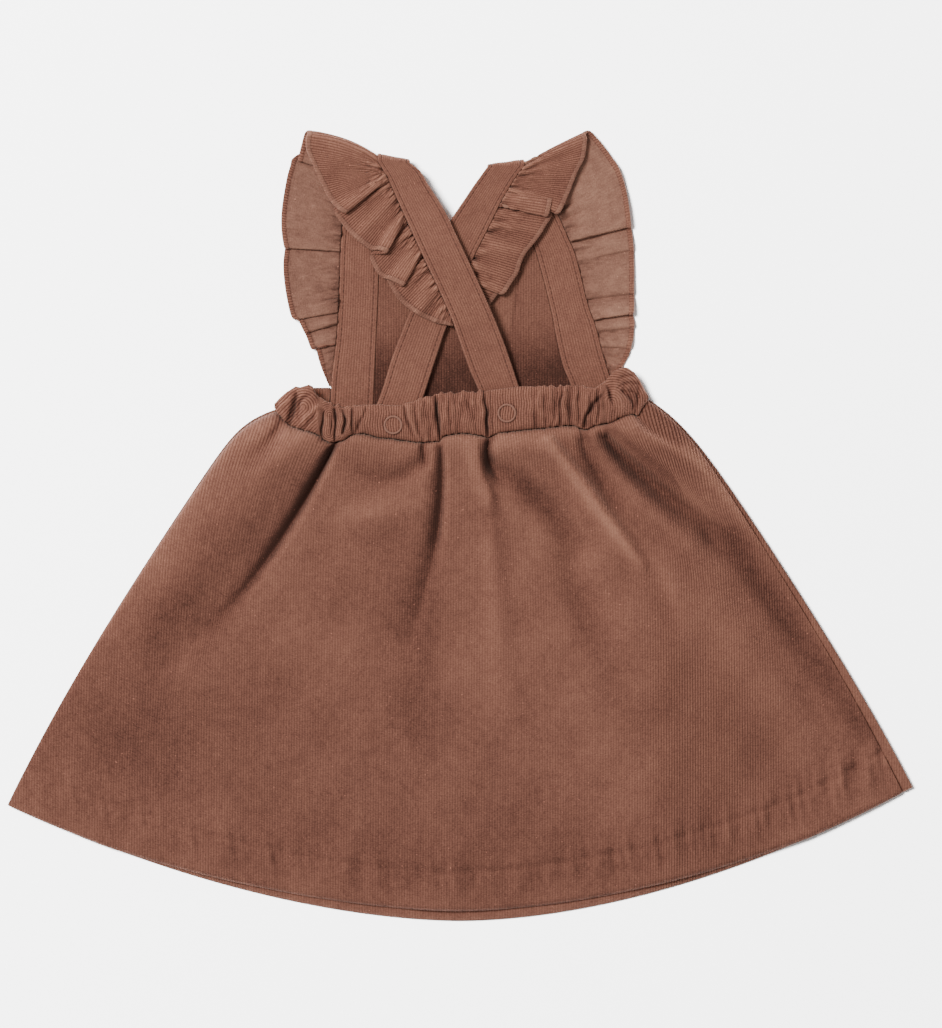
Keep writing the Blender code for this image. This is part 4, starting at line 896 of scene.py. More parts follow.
def makeBackBand():
    # a closed ring at each station of x: a rounded box section, its cosine and sine each raised to a power,
    # with gathers, bumps and wales on its upper half
    ringCount = backBand["ring"]
    x = np.linspace(*backBand["ends"], backBand["columns"])
    # three quarters of the points are on the upper side, where the gathers are
    step = np.linspace(0.0, 1.0, ringCount, endpoint=False)
    angle = np.pi * np.where(step < 0.75, step / 0.75, 1.0 + (step - 0.75) / 0.25)
    column, turn = np.meshgrid(x, angle, indexing="ij")
    middle, half, bottom, puff = bandSection(column)
    cosine = np.sign(np.cos(turn)) * np.abs(np.cos(turn)) ** 0.85
    sine = np.sign(np.sin(turn)) * np.abs(np.sin(turn)) ** 0.6
    upper = np.clip(sine, 0.0, 1.0)
    y = middle + half * cosine
    flat = np.maximum(*(bell((column - place) / reach, 8) for place, reach in backBand["flat"]))
    bumps = 0.5 * unevenness(column, y * 0.3, 6.5, 21) + 0.3 * unevenness(column, y * 0.4, 3.0, 22)
    bumps = bumps * (1.0 - 0.5 * smoothStep((np.abs(column) - 74.0) / 6.0))
    relief = backBand["foldStrength"] * addFolds(column, y, bandFolds) + bumps * (1.0 - 0.85 * flat)
    relief = np.maximum(relief, -0.55 * puff)
    count = bandWales(x, column, y)
    pile = waleProfile(count) * backBand["waleHeight"]
    # the edges follow the gathers a little: deep at a crease, full between two
    scallop = backBand["scallop"] * (1.0 - flat) * unevenness(column, 0.0 * y, 3.4, 23)
    scallop = scallop * smoothStep((76.0 - np.abs(column)) / 4.0)
    ripple = 0.15 + 0.2 * unevenness(column, 0.0 * y, 2.6, 25) * (1.0 - flat)
    y = y + np.clip(cosine, 0.0, 1.0) ** 3 * (0.32 * np.minimum(relief, 0.0) + scallop * 0.6)
    y = y + np.clip(-cosine, 0.0, 1.0) ** 3 * ripple
    z = bottom + puff * (0.5 + 0.5 * sine) + (relief + pile) * upper
    points = np.stack([column + 0.25 * unevenness(column, y, 9.0, 24) * upper, y, z], axis=-1)
    # painted shade in the gathers' creases and painted light on their ridges, from the relief
    shade = np.clip(relief / 1.8, -1.5, 0.5) * upper
    # painted shade: a dark ring round each snap
    for snapX, snapY in (snaps["left"], snaps["right"]):
        away = np.hypot(column - snapX, y - snapY) - snaps["groove"]
        shade = shade - 0.9 * bell(away / snaps["grooveWide"]) * upper
    cloth = np.stack([count, y / wale], axis=-1)
    quads = gridQuads(len(x), ringCount, closed=True)[:, ::-1]
    first = np.arange(ringCount)
    ends = [first, first[::-1] + (len(x) - 1) * ringCount]
    return buildMesh("waistband_back_cloth", points, quads, ends, bandCloth, cloth, 0.0, shade)


def makeFrontBand():
    # flat below; above, the thickness falls off where the band is narrow, and by a sixth power at its edges
    across = np.linspace(0.0, 1.0, frontBand["rows"])[:, None]
    x = np.union1d(np.linspace(*frontBand["ends"], frontBand["columns"]), frontBand["step"])[None, :]
    low = lookUp(frontBand["edges"], x, 1)
    high = lookUp(frontBand["edges"], x, 2)
    y = low + (high - low) * across
    # the end beside the left strap leans with it
    lean = bell((x - frontBand["step"][0]) / 3.0) * (x < np.mean(frontBand["step"]))
    x = x + 0.063 * lean * np.clip(y - 61.0, 0.0, None)
    thick = frontBand["thick"] * smoothStep((high - low) / 6.0 + 0.4)
    z = thick - 0.7 * (2.0 * np.abs(across - 0.5)) ** 6 - 0.2
    z = z + waleProfile(x / wale) * frontBand["waleHeight"]
    face = np.stack([x, y, z], axis=-1)
    back = np.stack([x, y, np.zeros_like(y)], axis=-1)
    return clothSheet("waistband_front_cloth", face, back, face[..., :2] / wale, insideCloth)


def makeSnap(name, place):
    # a ring of round wire that follows the band under it: points at radius R + r cos(a), height r sin(a)
    around = np.linspace(0.0, 2.0 * np.pi, snaps["rounds"], endpoint=False)[:, None]
    turn = np.linspace(0.0, 2.0 * np.pi, snaps["sides"], endpoint=False)[None, :]
    reach = snaps["radius"] + snaps["wire"] * np.cos(turn)
    x = place[0] + reach * np.cos(around)
    y = place[1] + reach * np.sin(around)
    under = bandTop(place[0] + snaps["radius"] * np.cos(around), place[1] + snaps["radius"] * np.sin(around))
    level = np.mean(under) + 0.35 * (under - np.mean(under))
    z = level + snaps["proud"] + snaps["wire"] * np.sin(turn)
    a = np.arange(z.size).reshape(z.shape)
    b = np.roll(a, -1, axis=1)
    quads = np.stack([a, np.roll(a, -1, axis=0), np.roll(b, -1, axis=0), b], axis=-1).reshape(-1, 4)
    return buildMesh(name, np.stack([x, y, z], axis=-1), quads, [], snapPaint)


# both straps; rows are outer edge x and y, inner edge x and y, and height of the middle
leftStrapFront = [
    (-69.0, 61.0, -46.0, 61.0, 1.5), (-67.8, 80.0, -45.2, 80.0, 1.5), (-65.3, 101.0, -44.3, 101.0, 1.5),
    (-64.0, 125.0, -43.2, 125.0, 1.5), (-63.0, 151.0, -42.5, 149.0, 1.5), (-60.5, 168.0, -41.0, 162.0, 1.5),
    (-53.5, 182.5, -36.0, 174.0, 1.5), (-44.6, 192.2, -27.6, 190.4, 1.5),
]
leftStrapBack = [
    (-43.6, 192.6, -26.4, 191.4, 7.6), (-38.3, 183.5, -21.0, 187.2, 7.8), (-33.3, 172.5, -16.8, 180.2, 8.6),
    (-26.2, 156.7, -7.7, 165.6, 9.8), (-19.1, 141.1, -0.5, 150.3, 10.5), (-12.0, 126.2, 6.9, 134.6, 10.5),
    (-4.8, 110.0, 14.6, 117.7, 9.8), (0.5, 95.1, 21.2, 102.0, 8.4), (5.0, 82.5, 25.7, 89.8, 6.9),
    (9.5, 72.1, 30.5, 75.5, 5.5), (13.8, 61.2, 34.5, 64.4, 4.8), (18.0, 50.5, 37.6, 54.0, 4.8),
]
rightStrapFront = [
    (81.5, 70.0, 60.5, 68.0, 1.5), (79.4, 78.7, 58.3, 75.0, 1.5), (75.7, 90.9, 54.1, 85.6, 1.5),
    (71.9, 105.7, 50.6, 101.0, 1.5), (68.2, 115.8, 48.8, 111.0, 1.5), (64.7, 129.6, 45.3, 125.9, 1.5),
    (61.0, 143.9, 41.6, 139.7, 1.5), (57.8, 151.3, 39.1, 147.6, 1.5), (51.9, 164.6, 32.9, 159.3, 1.5),
    (44.5, 177.8, 24.4, 172.5, 1.5), (34.5, 190.5, 15.0, 188.2, 1.5),
]
rightStrapBack = [
    (34.3, 190.4, 14.4, 189.6, 5.5), (29.2, 183.6, 10.9, 184.8, 5.5), (24.2, 175.2, 7.3, 179.8, 5.4),
    (20.7, 168.8, 3.0, 173.4, 5.3), (13.5, 154.0, -5.4, 160.6, 5.2), (5.7, 138.3, -12.2, 146.3, 5.2),
    (-1.1, 120.6, -20.1, 127.5, 5.2), (-8.2, 101.9, -28.1, 109.2, 5.2), (-10.8, 94.1, -31.3, 101.0, 5.2),
    (-14.6, 82.6, -35.8, 89.3, 5.1), (-19.1, 68.5, -40.8, 72.9, 4.8), (-23.8, 55.0, -45.4, 60.2, 4.8),
    (-26.5, 49.0, -47.5, 52.5, 4.8),
]
strap = {
    "thick": 2.9,
    "edge": 0.62, "edgeRound": 0.05,          # the edges' share of the thickness, and their reach
    "wales": 16, "waleSamples": 4, "waleHeight": 0.22, "ripple": 0.14,
    "stitchIn": 0.115, "grooveWide": 0.022,   # stitch lines, as shares of the width
    "groove": 0.22,
    "innerTurn": 0.35,                        # how far the inner edge bows out in the shoulder fold
    "frontRows": 80, "turnRows": 16, "backRows": 90,
}
bibCut = {
    "top": (155.5, 151.5), "rows": 60, "columns": 313,
    "tuck": 0.42,                             # how far it reaches under the straps' rounded edges
    "height": 2.35, "highest": 2.75, "waleHeight": 0.16,
    # a soft strip a little higher, and a line at its right: x where y is 110, lean, half width, sharpness,
    # and the y and reach of its lower end
    "strip": (22.0, 0.05, 7.0, 4, 96.0, 12.0), "line": (28.5, 0.12, 0.9, 2, 98.0, 8.0),
}


def squareTo(start, end):
    # unit direction square to the line between two points of the plan, on the side of larger y
    line = end - start
    outward = np.array([-line[1], line[0], 0.0]) / np.hypot(*line)
    return outward * np.sign(outward[1])


def turnOver(front, back, outward, steps):
    # half circle from a point on the front stretch up to the one above it on the back stretch
    angle = np.linspace(0.0, np.pi, steps + 2)[1:-1, None]
    middle = 0.5 * (front + back)
    arm = front - middle
    return middle + arm * np.cos(angle) + outward * np.linalg.norm(arm) * np.sin(angle)


def strapEdges(front, back, frontCount, turnCount, backCount):
    # outer and inner edge of a strap, through the front stretch, the shoulder fold and the back stretch, and
    # the way its wrong side faces, which turns over by half a circle in the fold
    a = curveThrough(front, np.linspace(0.0, 1.0, frontCount))
    b = curveThrough(back, np.linspace(0.0, 1.0, backCount))
    for k in (0, 2):
        a[0, k + 1] = lookUp(frontBand["edges"], a[0, k], 2) + gap
    outward = squareTo(a[-1, 0:2], a[-1, 2:4])
    edges = []
    for pick, bulge in (((0, 1, 4), 1.0), ((2, 3, 4), strap["innerTurn"])):
        turn = turnOver(a[-1, pick], b[0, pick], outward * bulge, turnCount)
        edges.append(np.concatenate([a[:, pick], turn, b[:, pick]]))
    angle = np.linspace(0.0, np.pi, turnCount + 2)[1:-1]
    turning = np.concatenate([np.zeros(frontCount), angle, np.full(backCount, np.pi)])
    facing = np.outer(np.cos(turning), [0.0, 0.0, 1.0]) - np.outer(np.sin(turning), outward)
    return edges[0], edges[1], facing


def makeStrap(name, front, back):
    # a flat tube of two layers: each side lies off the middle by half the thickness, less the grooves of both
    # stitch lines and rounded at the edges, plus the wales. Returns the stitch lines of both sides too
    outer, inner, facing = strapEdges(front, back, strap["frontRows"], strap["turnRows"], strap["backRows"])
    across = inner - outer
    width = np.linalg.norm(across, axis=1, keepdims=True)
    across = across / width
    normal = facing - across * np.sum(facing * across, axis=1, keepdims=True)
    normal /= np.linalg.norm(normal, axis=1, keepdims=True)
    samples = strap["wales"] * strap["waleSamples"]
    s = np.linspace(0.0, 1.0, samples + 1)
    stitchPlaces = strap["stitchIn"], 1.0 - strap["stitchIn"]
    groove = sum(bell((s - at) / strap["grooveWide"]) for at in stitchPlaces)
    lip = np.clip(np.minimum(s, 1.0 - s) / strap["edgeRound"], 0.0, 1.0)
    height = 0.5 * strap["thick"] * (strap["edge"] + (1.0 - strap["edge"]) * roundEdge(lip))
    height = height - strap["groove"] * groove - 0.12
    height = height + waleProfile(s * strap["wales"]) * strap["waleHeight"] * lip
    place = distancesAlong(0.5 * (outer + inner))
    ripple = strap["ripple"] * unevenness(place[:, None], 20.0 * s[None, :], 9.0, 31)
    base = outer[:, None, :] + (width * s)[..., None] * across[:, None, :]
    up = base + (height + ripple)[..., None] * normal[:, None, :]
    down = (base - (height - ripple)[..., None] * normal[:, None, :])[:, ::-1]
    ring = np.concatenate([up, down], axis=1)
    rows, columns = ring.shape[:2]
    count = np.concatenate([s, s[::-1]]) * strap["wales"]
    cloth = np.stack(np.broadcast_arrays(count[None, :], place[:, None] / wale), axis=-1)
    # painted shade along both stitch grooves
    shade = np.broadcast_to(-0.35 * np.concatenate([groove, groove[::-1]]), (rows, columns))
    quads = gridQuads(rows, columns, closed=True)
    first = np.arange(columns)
    ends = [first[::-1], first + (rows - 1) * columns]
    # the two straps turn opposite ways, so one of them has its faces the other way round
    out = np.cross(up[5, 12] - up[5, 10], up[6, 11] - up[4, 11])
    if np.dot(out, normal[5]) < 0:
        quads = quads[:, ::-1]
        ends = [end[::-1] for end in ends]
    piece = buildMesh(name, ring, quads, ends, strapCloth, cloth, 0.0, shade)
    stitches = []
    for at in stitchPlaces:
        k = int(round(at * samples))
        for side, sign in ((up[:, k], 1.0), (down[:, samples - k], -1.0)):
            stitches.append((side - 0.02 * sign * normal, sign * normal))
    return piece, stitches


def makeBib():
    # straight lines between the two front straps, up to a line across under the crossed straps. It is flat
    # below and level above, with soft unevenness, a strip and a line
    _, left, _ = strapEdges(leftStrapFront, leftStrapBack, 80, 2, 80)
    _, right, _ = strapEdges(rightStrapFront, rightStrapBack, 80, 2, 80)
    left, right = left[:80], right[:80]
    rise = np.linspace(0.0, 1.0, bibCut["rows"])
    leftY = left[0, 1] + (bibCut["top"][0] - left[0, 1]) * rise
    rightY = right[0, 1] + (bibCut["top"][1] - right[0, 1]) * rise
    leftX = np.interp(leftY, left[:, 1], left[:, 0]) + 0.2
    rightX = np.interp(rightY, right[:, 1], right[:, 0]) - 0.2
    across = np.linspace(0.0, 1.0, bibCut["columns"])
    x = leftX[:, None] + (rightX - leftX)[:, None] * across
    y = leftY[:, None] + (rightY - leftY)[:, None] * across
    y[0] = lookUp(frontBand["edges"], x[0], 2) + gap
    strip, line = (
        bell((x - middle - (y - 110.0) * lean) / wide, sharpness) * smoothStep((y - start) / reach)
        for middle, lean, wide, sharpness, start, reach in (bibCut["strip"], bibCut["line"])
    )
    z = bibCut["height"] + 0.12 * unevenness(x, y, 22.0, 41) + 0.16 * strip - 0.3 * line
    z = z + waleProfile(x / wale) * bibCut["waleHeight"]
    face = np.stack([x, y, np.minimum(z, bibCut["highest"])], axis=-1)
    tuck = bibCut["tuck"] * (2.0 * across - 1.0) ** 31
    back = np.stack([x + tuck, y, np.zeros_like(x)], axis=-1)
    # painted light on the strip, painted shade along the line and a little over all, and painted shadow
    # towards the bottom, where the back waistband and straps lie over it
    shade = 0.35 * strip - 0.5 * line - 0.1 - 1.3 * smoothStep((112.0 - y) / 34.0)
    return clothSheet("bib_cloth", face, back, face[..., :2] / wale, insideCloth, shade)


# both ruffles; one row for each station along the strap: seam x, y, height, hem x, y, height, and how far the
# cloth bows up between them. Where the rows double back, the cloth folds over itself
leftRuffleFront = [
    (-68.6, 73.6, 1.2, -69.2, 73.8, 1.0, 0), (-67.8, 79.8, 1.2, -72.0, 79.8, 0.9, 0.1),
    (-66.8, 88.8, 1.3, -74.5, 86.9, 0.9, 0.2), (-66.1, 94.6, 1.2, -76.3, 93.3, 0.8, 0.1),
    (-65.9, 98.3, 0.9, -77.6, 97.0, 0.8, 0), (-66.1, 95.8, 2.6, -78.8, 93.7, 2.5, 0.1),
    (-65.7, 101.0, 2.2, -80.8, 98.6, 1.8, 0.3), (-65.3, 105.7, 1.3, -82.2, 102.0, 0.9, 0.1),
    (-65.2, 108.9, 0.9, -83.2, 104.7, 0.8, 0), (-65.2, 107.1, 2.7, -82.4, 102.1, 2.7, 0.1),
    (-65.0, 111.0, 2.2, -84.8, 107.1, 1.8, 0.3), (-64.9, 113.7, 1.3, -86.0, 110.2, 1.0, 0),
    (-64.8, 116.3, 0.9, -86.4, 113.2, 0.8, 0), (-65.1, 113.2, 3.2, -87.3, 109.2, 3.0, 0.1),
    (-64.7, 118.5, 2.5, -89.7, 111.8, 2.6, 0.5), (-64.4, 124.8, 1.8, -92.5, 125.0, 2.2, 0.4),
    (-64.1, 135.4, 1.6, -93.6, 137.2, 1.8, 0.4), (-63.9, 142.3, 1.3, -93.0, 145.0, 1.3, 0.1),
    (-63.7, 147.6, 0.9, -92.2, 149.7, 0.8, 0), (-63.8, 145.5, 3.2, -93.1, 147.4, 3.2, 0.1),
    (-63.3, 151.3, 2.4, -94.5, 156.6, 2.8, 0.6), (-62.5, 160.9, 2.0, -94.3, 168.1, 2.4, 0.7),
    (-61.0, 168.3, 1.8, -92.0, 182.6, 2.0, 0.5), (-58.3, 174.6, 1.6, -89.9, 190.8, 1.7, 0.2),
    (-56.2, 177.8, 1.4, -89.0, 194.1, 1.3, 0), (-54.1, 181.0, 0.9, -85.1, 196.9, 0.8, 0),
    (-53.5, 183.1, 2.6, -85.9, 193.5, 3.2, 0.1), (-49.8, 186.8, 2.0, -84.3, 200.1, 2.8, 0.4),
    (-47.2, 188.9, 1.8, -82.4, 207.2, 2.4, 0.3),
]
leftRuffleBack = [
    (-42.9, 192.1, 7.4, -81.5, 204.8, 6.6, 0.6), (-41.6, 189.5, 7.4, -81.2, 198.8, 6.6, 0.8),
    (-40.8, 187.9, 7.4, -78.2, 191.6, 6.8, 0.6), (-40.0, 186.6, 7.6, -74.0, 181.9, 7.0, 0.2),
    (-39.5, 185.8, 8.0, -69.2, 172.4, 8.0, 0.2), (-39.0, 184.7, 8.8, -63.9, 166.5, 10.0, 0.8),
    (-38.5, 183.4, 8.8, -60.8, 165.0, 9.4, 0.8), (-38.4, 182.6, 7.6, -63.1, 165.9, 7.4, 0),
    (-38.3, 182.3, 7.0, -66.8, 166.7, 6.2, 0), (-37.6, 181.0, 6.8, -65.2, 163.0, 6.2, -0.2),
    (-36.3, 178.3, 7.2, -59.5, 155.8, 6.8, -0.3), (-34.5, 174.4, 8.2, -55.4, 151.7, 7.8, 0.5),
    (-32.9, 170.7, 8.0, -51.7, 148.7, 7.4, 0.2), (-31.5, 167.7, 7.6, -46.9, 145.6, 7.6, 0.3),
    (-30.5, 165.4, 8.8, -42.9, 145.4, 9.8, 1.0), (-29.2, 162.7, 9.2, -39.1, 143.9, 10.2, 0.9),
    (-29.0, 161.7, 7.6, -41.9, 143.2, 8.2, 0), (-28.9, 161.1, 7.0, -46.9, 143.0, 6.6, 0),
    (-27.8, 158.5, 6.8, -47.5, 141.2, 6.3, -0.2), (-26.5, 155.6, 7.2, -45.3, 135.9, 6.6, -0.4),
    (-24.9, 151.8, 7.4, -41.6, 131.3, 7.0, -0.2), (-23.3, 148.1, 8.8, -36.8, 129.5, 9.4, 0.8),
    (-20.9, 144.2, 9.4, -30.4, 126.5, 10.0, 0.9), (-20.7, 143.1, 8.0, -32.9, 126.9, 7.8, 0),
    (-20.5, 142.6, 7.4, -38.7, 130.2, 6.4, 0), (-19.3, 140.5, 7.6, -37.8, 128.0, 6.4, -0.2),
    (-17.8, 137.3, 8.2, -34.8, 122.7, 6.8, 0.2), (-15.9, 133.3, 8.4, -31.0, 117.9, 7.0, -0.3),
    (-13.8, 128.5, 9.0, -26.9, 114.4, 8.4, 0.4), (-11.9, 124.8, 9.0, -23.1, 111.8, 9.0, 0.5),
    (-10.3, 121.6, 8.6, -19.1, 109.7, 7.8, -0.2), (-8.0, 116.6, 8.6, -12.7, 107.0, 8.2, 0.2),
    (-5.8, 112.1, 8.2, -8.0, 106.0, 8.0, 0), (-4.2, 108.7, 7.8, -3.7, 105.2, 7.6, 0),
]
rightRuffleFront = [
    (80.3, 76.5, 1.2, 81.6, 77.0, 1.0, 0), (78.9, 81.4, 1.2, 83.0, 81.4, 1.0, 0),
    (77.9, 84.5, 1.2, 85.6, 83.5, 0.9, 0.1), (76.6, 89.3, 1.2, 89.2, 89.8, 0.9, 0.2),
    (75.4, 94.1, 0.9, 90.5, 93.5, 0.8, 0), (74.9, 95.4, 2.2, 90.8, 95.0, 2.0, 0),
    (73.9, 98.8, 1.8, 91.8, 99.4, 1.5, 0.3), (73.1, 102.3, 0.9, 92.2, 104.4, 0.9, 0),
    (72.7, 103.9, 2.4, 92.3, 105.7, 2.1, 0), (72.1, 106.3, 2.0, 92.4, 107.9, 1.6, 0.2),
    (71.5, 108.9, 1.2, 91.9, 110.5, 1.1, 0), (71.0, 111.8, 0.9, 90.9, 115.3, 0.8, 0),
    (71.5, 109.0, 3.5, 91.8, 112.5, 3.5, 0.1), (70.2, 114.2, 2.4, 92.2, 116.3, 2.8, 0.5),
    (68.8, 119.6, 1.1, 92.2, 122.4, 1.3, 0), (68.5, 121.2, 2.4, 92.2, 124.0, 2.4, 0),
    (66.2, 129.6, 1.6, 92.2, 132.3, 1.9, 0.5), (63.5, 139.1, 1.0, 92.1, 144.7, 1.1, 0),
    (63.0, 141.1, 2.4, 92.0, 147.1, 2.2, 0), (62.0, 145.5, 2.0, 91.6, 151.3, 1.9, 0.3),
    (61.2, 148.7, 1.1, 90.9, 156.9, 1.2, 0), (59.8, 152.4, 0.9, 89.8, 161.4, 0.8, 0),
    (60.8, 150.7, 3.6, 90.6, 158.9, 3.6, 0.1), (58.3, 155.6, 2.8, 89.5, 168.9, 3.2, 0.7),
    (55.1, 160.9, 2.4, 87.9, 177.9, 2.8, 0.8), (50.9, 168.3, 2.2, 84.6, 188.2, 2.6, 0.8),
    (45.6, 176.8, 2.0, 80.3, 195.1, 2.4, 0.6), (40.8, 183.1, 1.9, 75.0, 202.3, 2.2, 0.4),
    (37.6, 187.9, 1.8, 70.5, 207.5, 2.1, 0.2),
]
rightRuffleBack = [
    (33.9, 190.5, 5.6, 67.2, 204.3, 5.8, 0.2), (32.3, 188.4, 5.6, 66.5, 199.0, 6.0, -0.3),
    (31.3, 186.9, 6.0, 65.6, 193.9, 6.2, 0.6), (29.7, 184.7, 6.2, 62.0, 186.6, 6.2, 0.6),
    (28.1, 182.1, 6.0, 59.9, 181.0, 6.3, 0.1), (26.8, 179.9, 6.4, 57.8, 175.7, 6.6, 0.4),
    (25.8, 178.1, 6.4, 55.7, 170.7, 7.0, 0.6), (25.3, 176.8, 6.6, 53.1, 165.6, 7.6, 0.6),
    (25.1, 176.2, 6.0, 51.5, 165.1, 6.4, 0), (25.0, 175.9, 5.6, 49.6, 170.4, 5.6, 0),
    (24.8, 175.3, 7.6, 48.7, 172.1, 7.8, 0.2), (23.9, 173.0, 8.4, 48.1, 169.3, 8.8, 0.3),
    (22.8, 170.1, 8.2, 47.3, 165.4, 8.6, 0.3), (22.4, 168.8, 7.4, 46.4, 163.4, 7.8, 0),
    (22.7, 169.7, 6.0, 47.4, 166.4, 6.0, 0), (22.4, 168.6, 5.4, 48.5, 165.0, 5.4, 0),
    (21.5, 167.0, 5.6, 48.2, 162.8, 5.5, 0.1), (19.3, 163.5, 5.8, 45.6, 158.5, 6.0, 0.4),
    (16.7, 158.7, 5.6, 41.9, 152.6, 6.2, -0.6), (14.3, 154.0, 6.0, 37.9, 147.6, 6.2, 0.2),
    (11.7, 149.2, 7.0, 35.0, 143.9, 6.6, 1.2), (9.8, 145.5, 6.6, 32.6, 139.1, 6.2, 0.4),
    (7.4, 141.0, 6.0, 30.9, 133.6, 6.0, 0.2), (4.8, 135.9, 6.2, 27.6, 128.5, 6.4, 0.3),
    (2.1, 130.4, 6.6, 23.6, 122.5, 7.0, 0.4), (1.9, 129.6, 5.6, 20.9, 123.0, 5.8, 0),
    (1.1, 128.0, 5.2, 19.6, 121.6, 5.2, 0), (-0.5, 123.2, 5.2, 15.9, 116.9, 5.0, 0),
    (-1.9, 119.0, 5.2, 11.7, 113.2, 4.8, 0),
]
ruffle = {
    "half": 0.55, "bead": 0.30, "hemWide": 2.6,   # half the thickness, what the hem adds, and the hem's width
    "gather": 1.35, "gatherReach": 9.0, "lowest": 0.72, "groove": 0.2,
    "samples": 4, "waleHeight": 0.24, "hemWales": 0.12,
}
# which side of the dress, how far the shoulder fold stands out, what is added to the front stretch's shade,
# and the seeds of the gathers
leftRuffleCut = {"side": 1.0, "puff": 3.4, "lift": -0.10, "seeds": (52, 58)}
rightRuffleCut = {"side": -1.0, "puff": 0.4, "lift": 0.30, "seeds": (51, 57)}
# rows of points: shares of the way from the seam to the hem, and shares of the hem's width from its edge
ruffleRows = np.array([0.0, 0.035, 0.075, 0.12, 0.175, 0.24, 0.32, 0.41, 0.50, 0.59, 0.68, 0.77, 0.85, 0.93])
ruffleHemRows = np.array([1.0, 0.86, 0.60, 0.34, 0.12, 0.0])   # of the hem's width, from its edge


def besideStrap(y, edge, away):
    # x of seam points at y that lie just off the strap's outer edge
    order = np.argsort(edge[:, 1])
    return np.interp(y, edge[order, 1], edge[order, 0]) + away


def ruffleLines(cut, front, back, strapFront, strapBack):
    # seam line, hem line and bow at every sample of the wales: smooth curves through the stations of the
    # front stretch, a shoulder fold in half circles, and the back stretch. The seam is kept beside the strap
    front, back = np.array(front, float), np.array(back, float)
    outer, _, _ = strapEdges(strapFront, strapBack, 60, 0, 60)
    away = -0.12 * cut["side"]
    front[:, 0] = besideStrap(front[:, 1], outer[:60], away)
    back[:, 0] = besideStrap(back[:, 1], outer[60:], away)
    outward = squareTo(front[-1, 0:2], front[-1, 3:5])
    seamTurn = turnOver(front[-1, 0:3], back[0, 0:3], outward, 3)
    hemTurn = turnOver(front[-1, 3:6], back[0, 3:6], outward, 3)
    turn = np.concatenate([seamTurn, hemTurn, np.zeros((3, 1))], axis=1)
    stations = np.concatenate([front, turn, back])
    # wales are even along the hem: the seam counts for less in the length, and the bow for next to nothing
    weight = np.array([0.3, 0.3, 0.3, 1.0, 1.0, 1.0])
    weighted = stations[:, :6] * weight
    total = np.sum(np.linalg.norm(np.diff(weighted, axis=0), axis=1))
    fractions = np.linspace(0.0, 1.0, int(total / wale) * ruffle["samples"] + 1)
    path = curveThrough(weighted, fractions) / weight
    bow = curveThrough(np.concatenate([weighted, stations[:, 6:] * 1e-3], axis=1), fractions)[:, 6] * 1e3
    seam, hem = path[:, 0:3], path[:, 3:6]
    top = min(front[-1, 1], back[0, 1]) - 0.5
    peak = np.argmax(seam[:, 1])
    for stretch, edge in ((seam[:peak], outer[:60]), (seam[peak:], outer[60:])):
        low = stretch[:, 1] < top
        stretch[low, 0] = besideStrap(stretch[low, 1], edge, away)
    for line in (seam, hem):
        line[:, 2] = np.maximum(line[:, 2], ruffle["lowest"])
    return seam, hem, bow, np.linspace(0.0, total, len(fractions)), outward


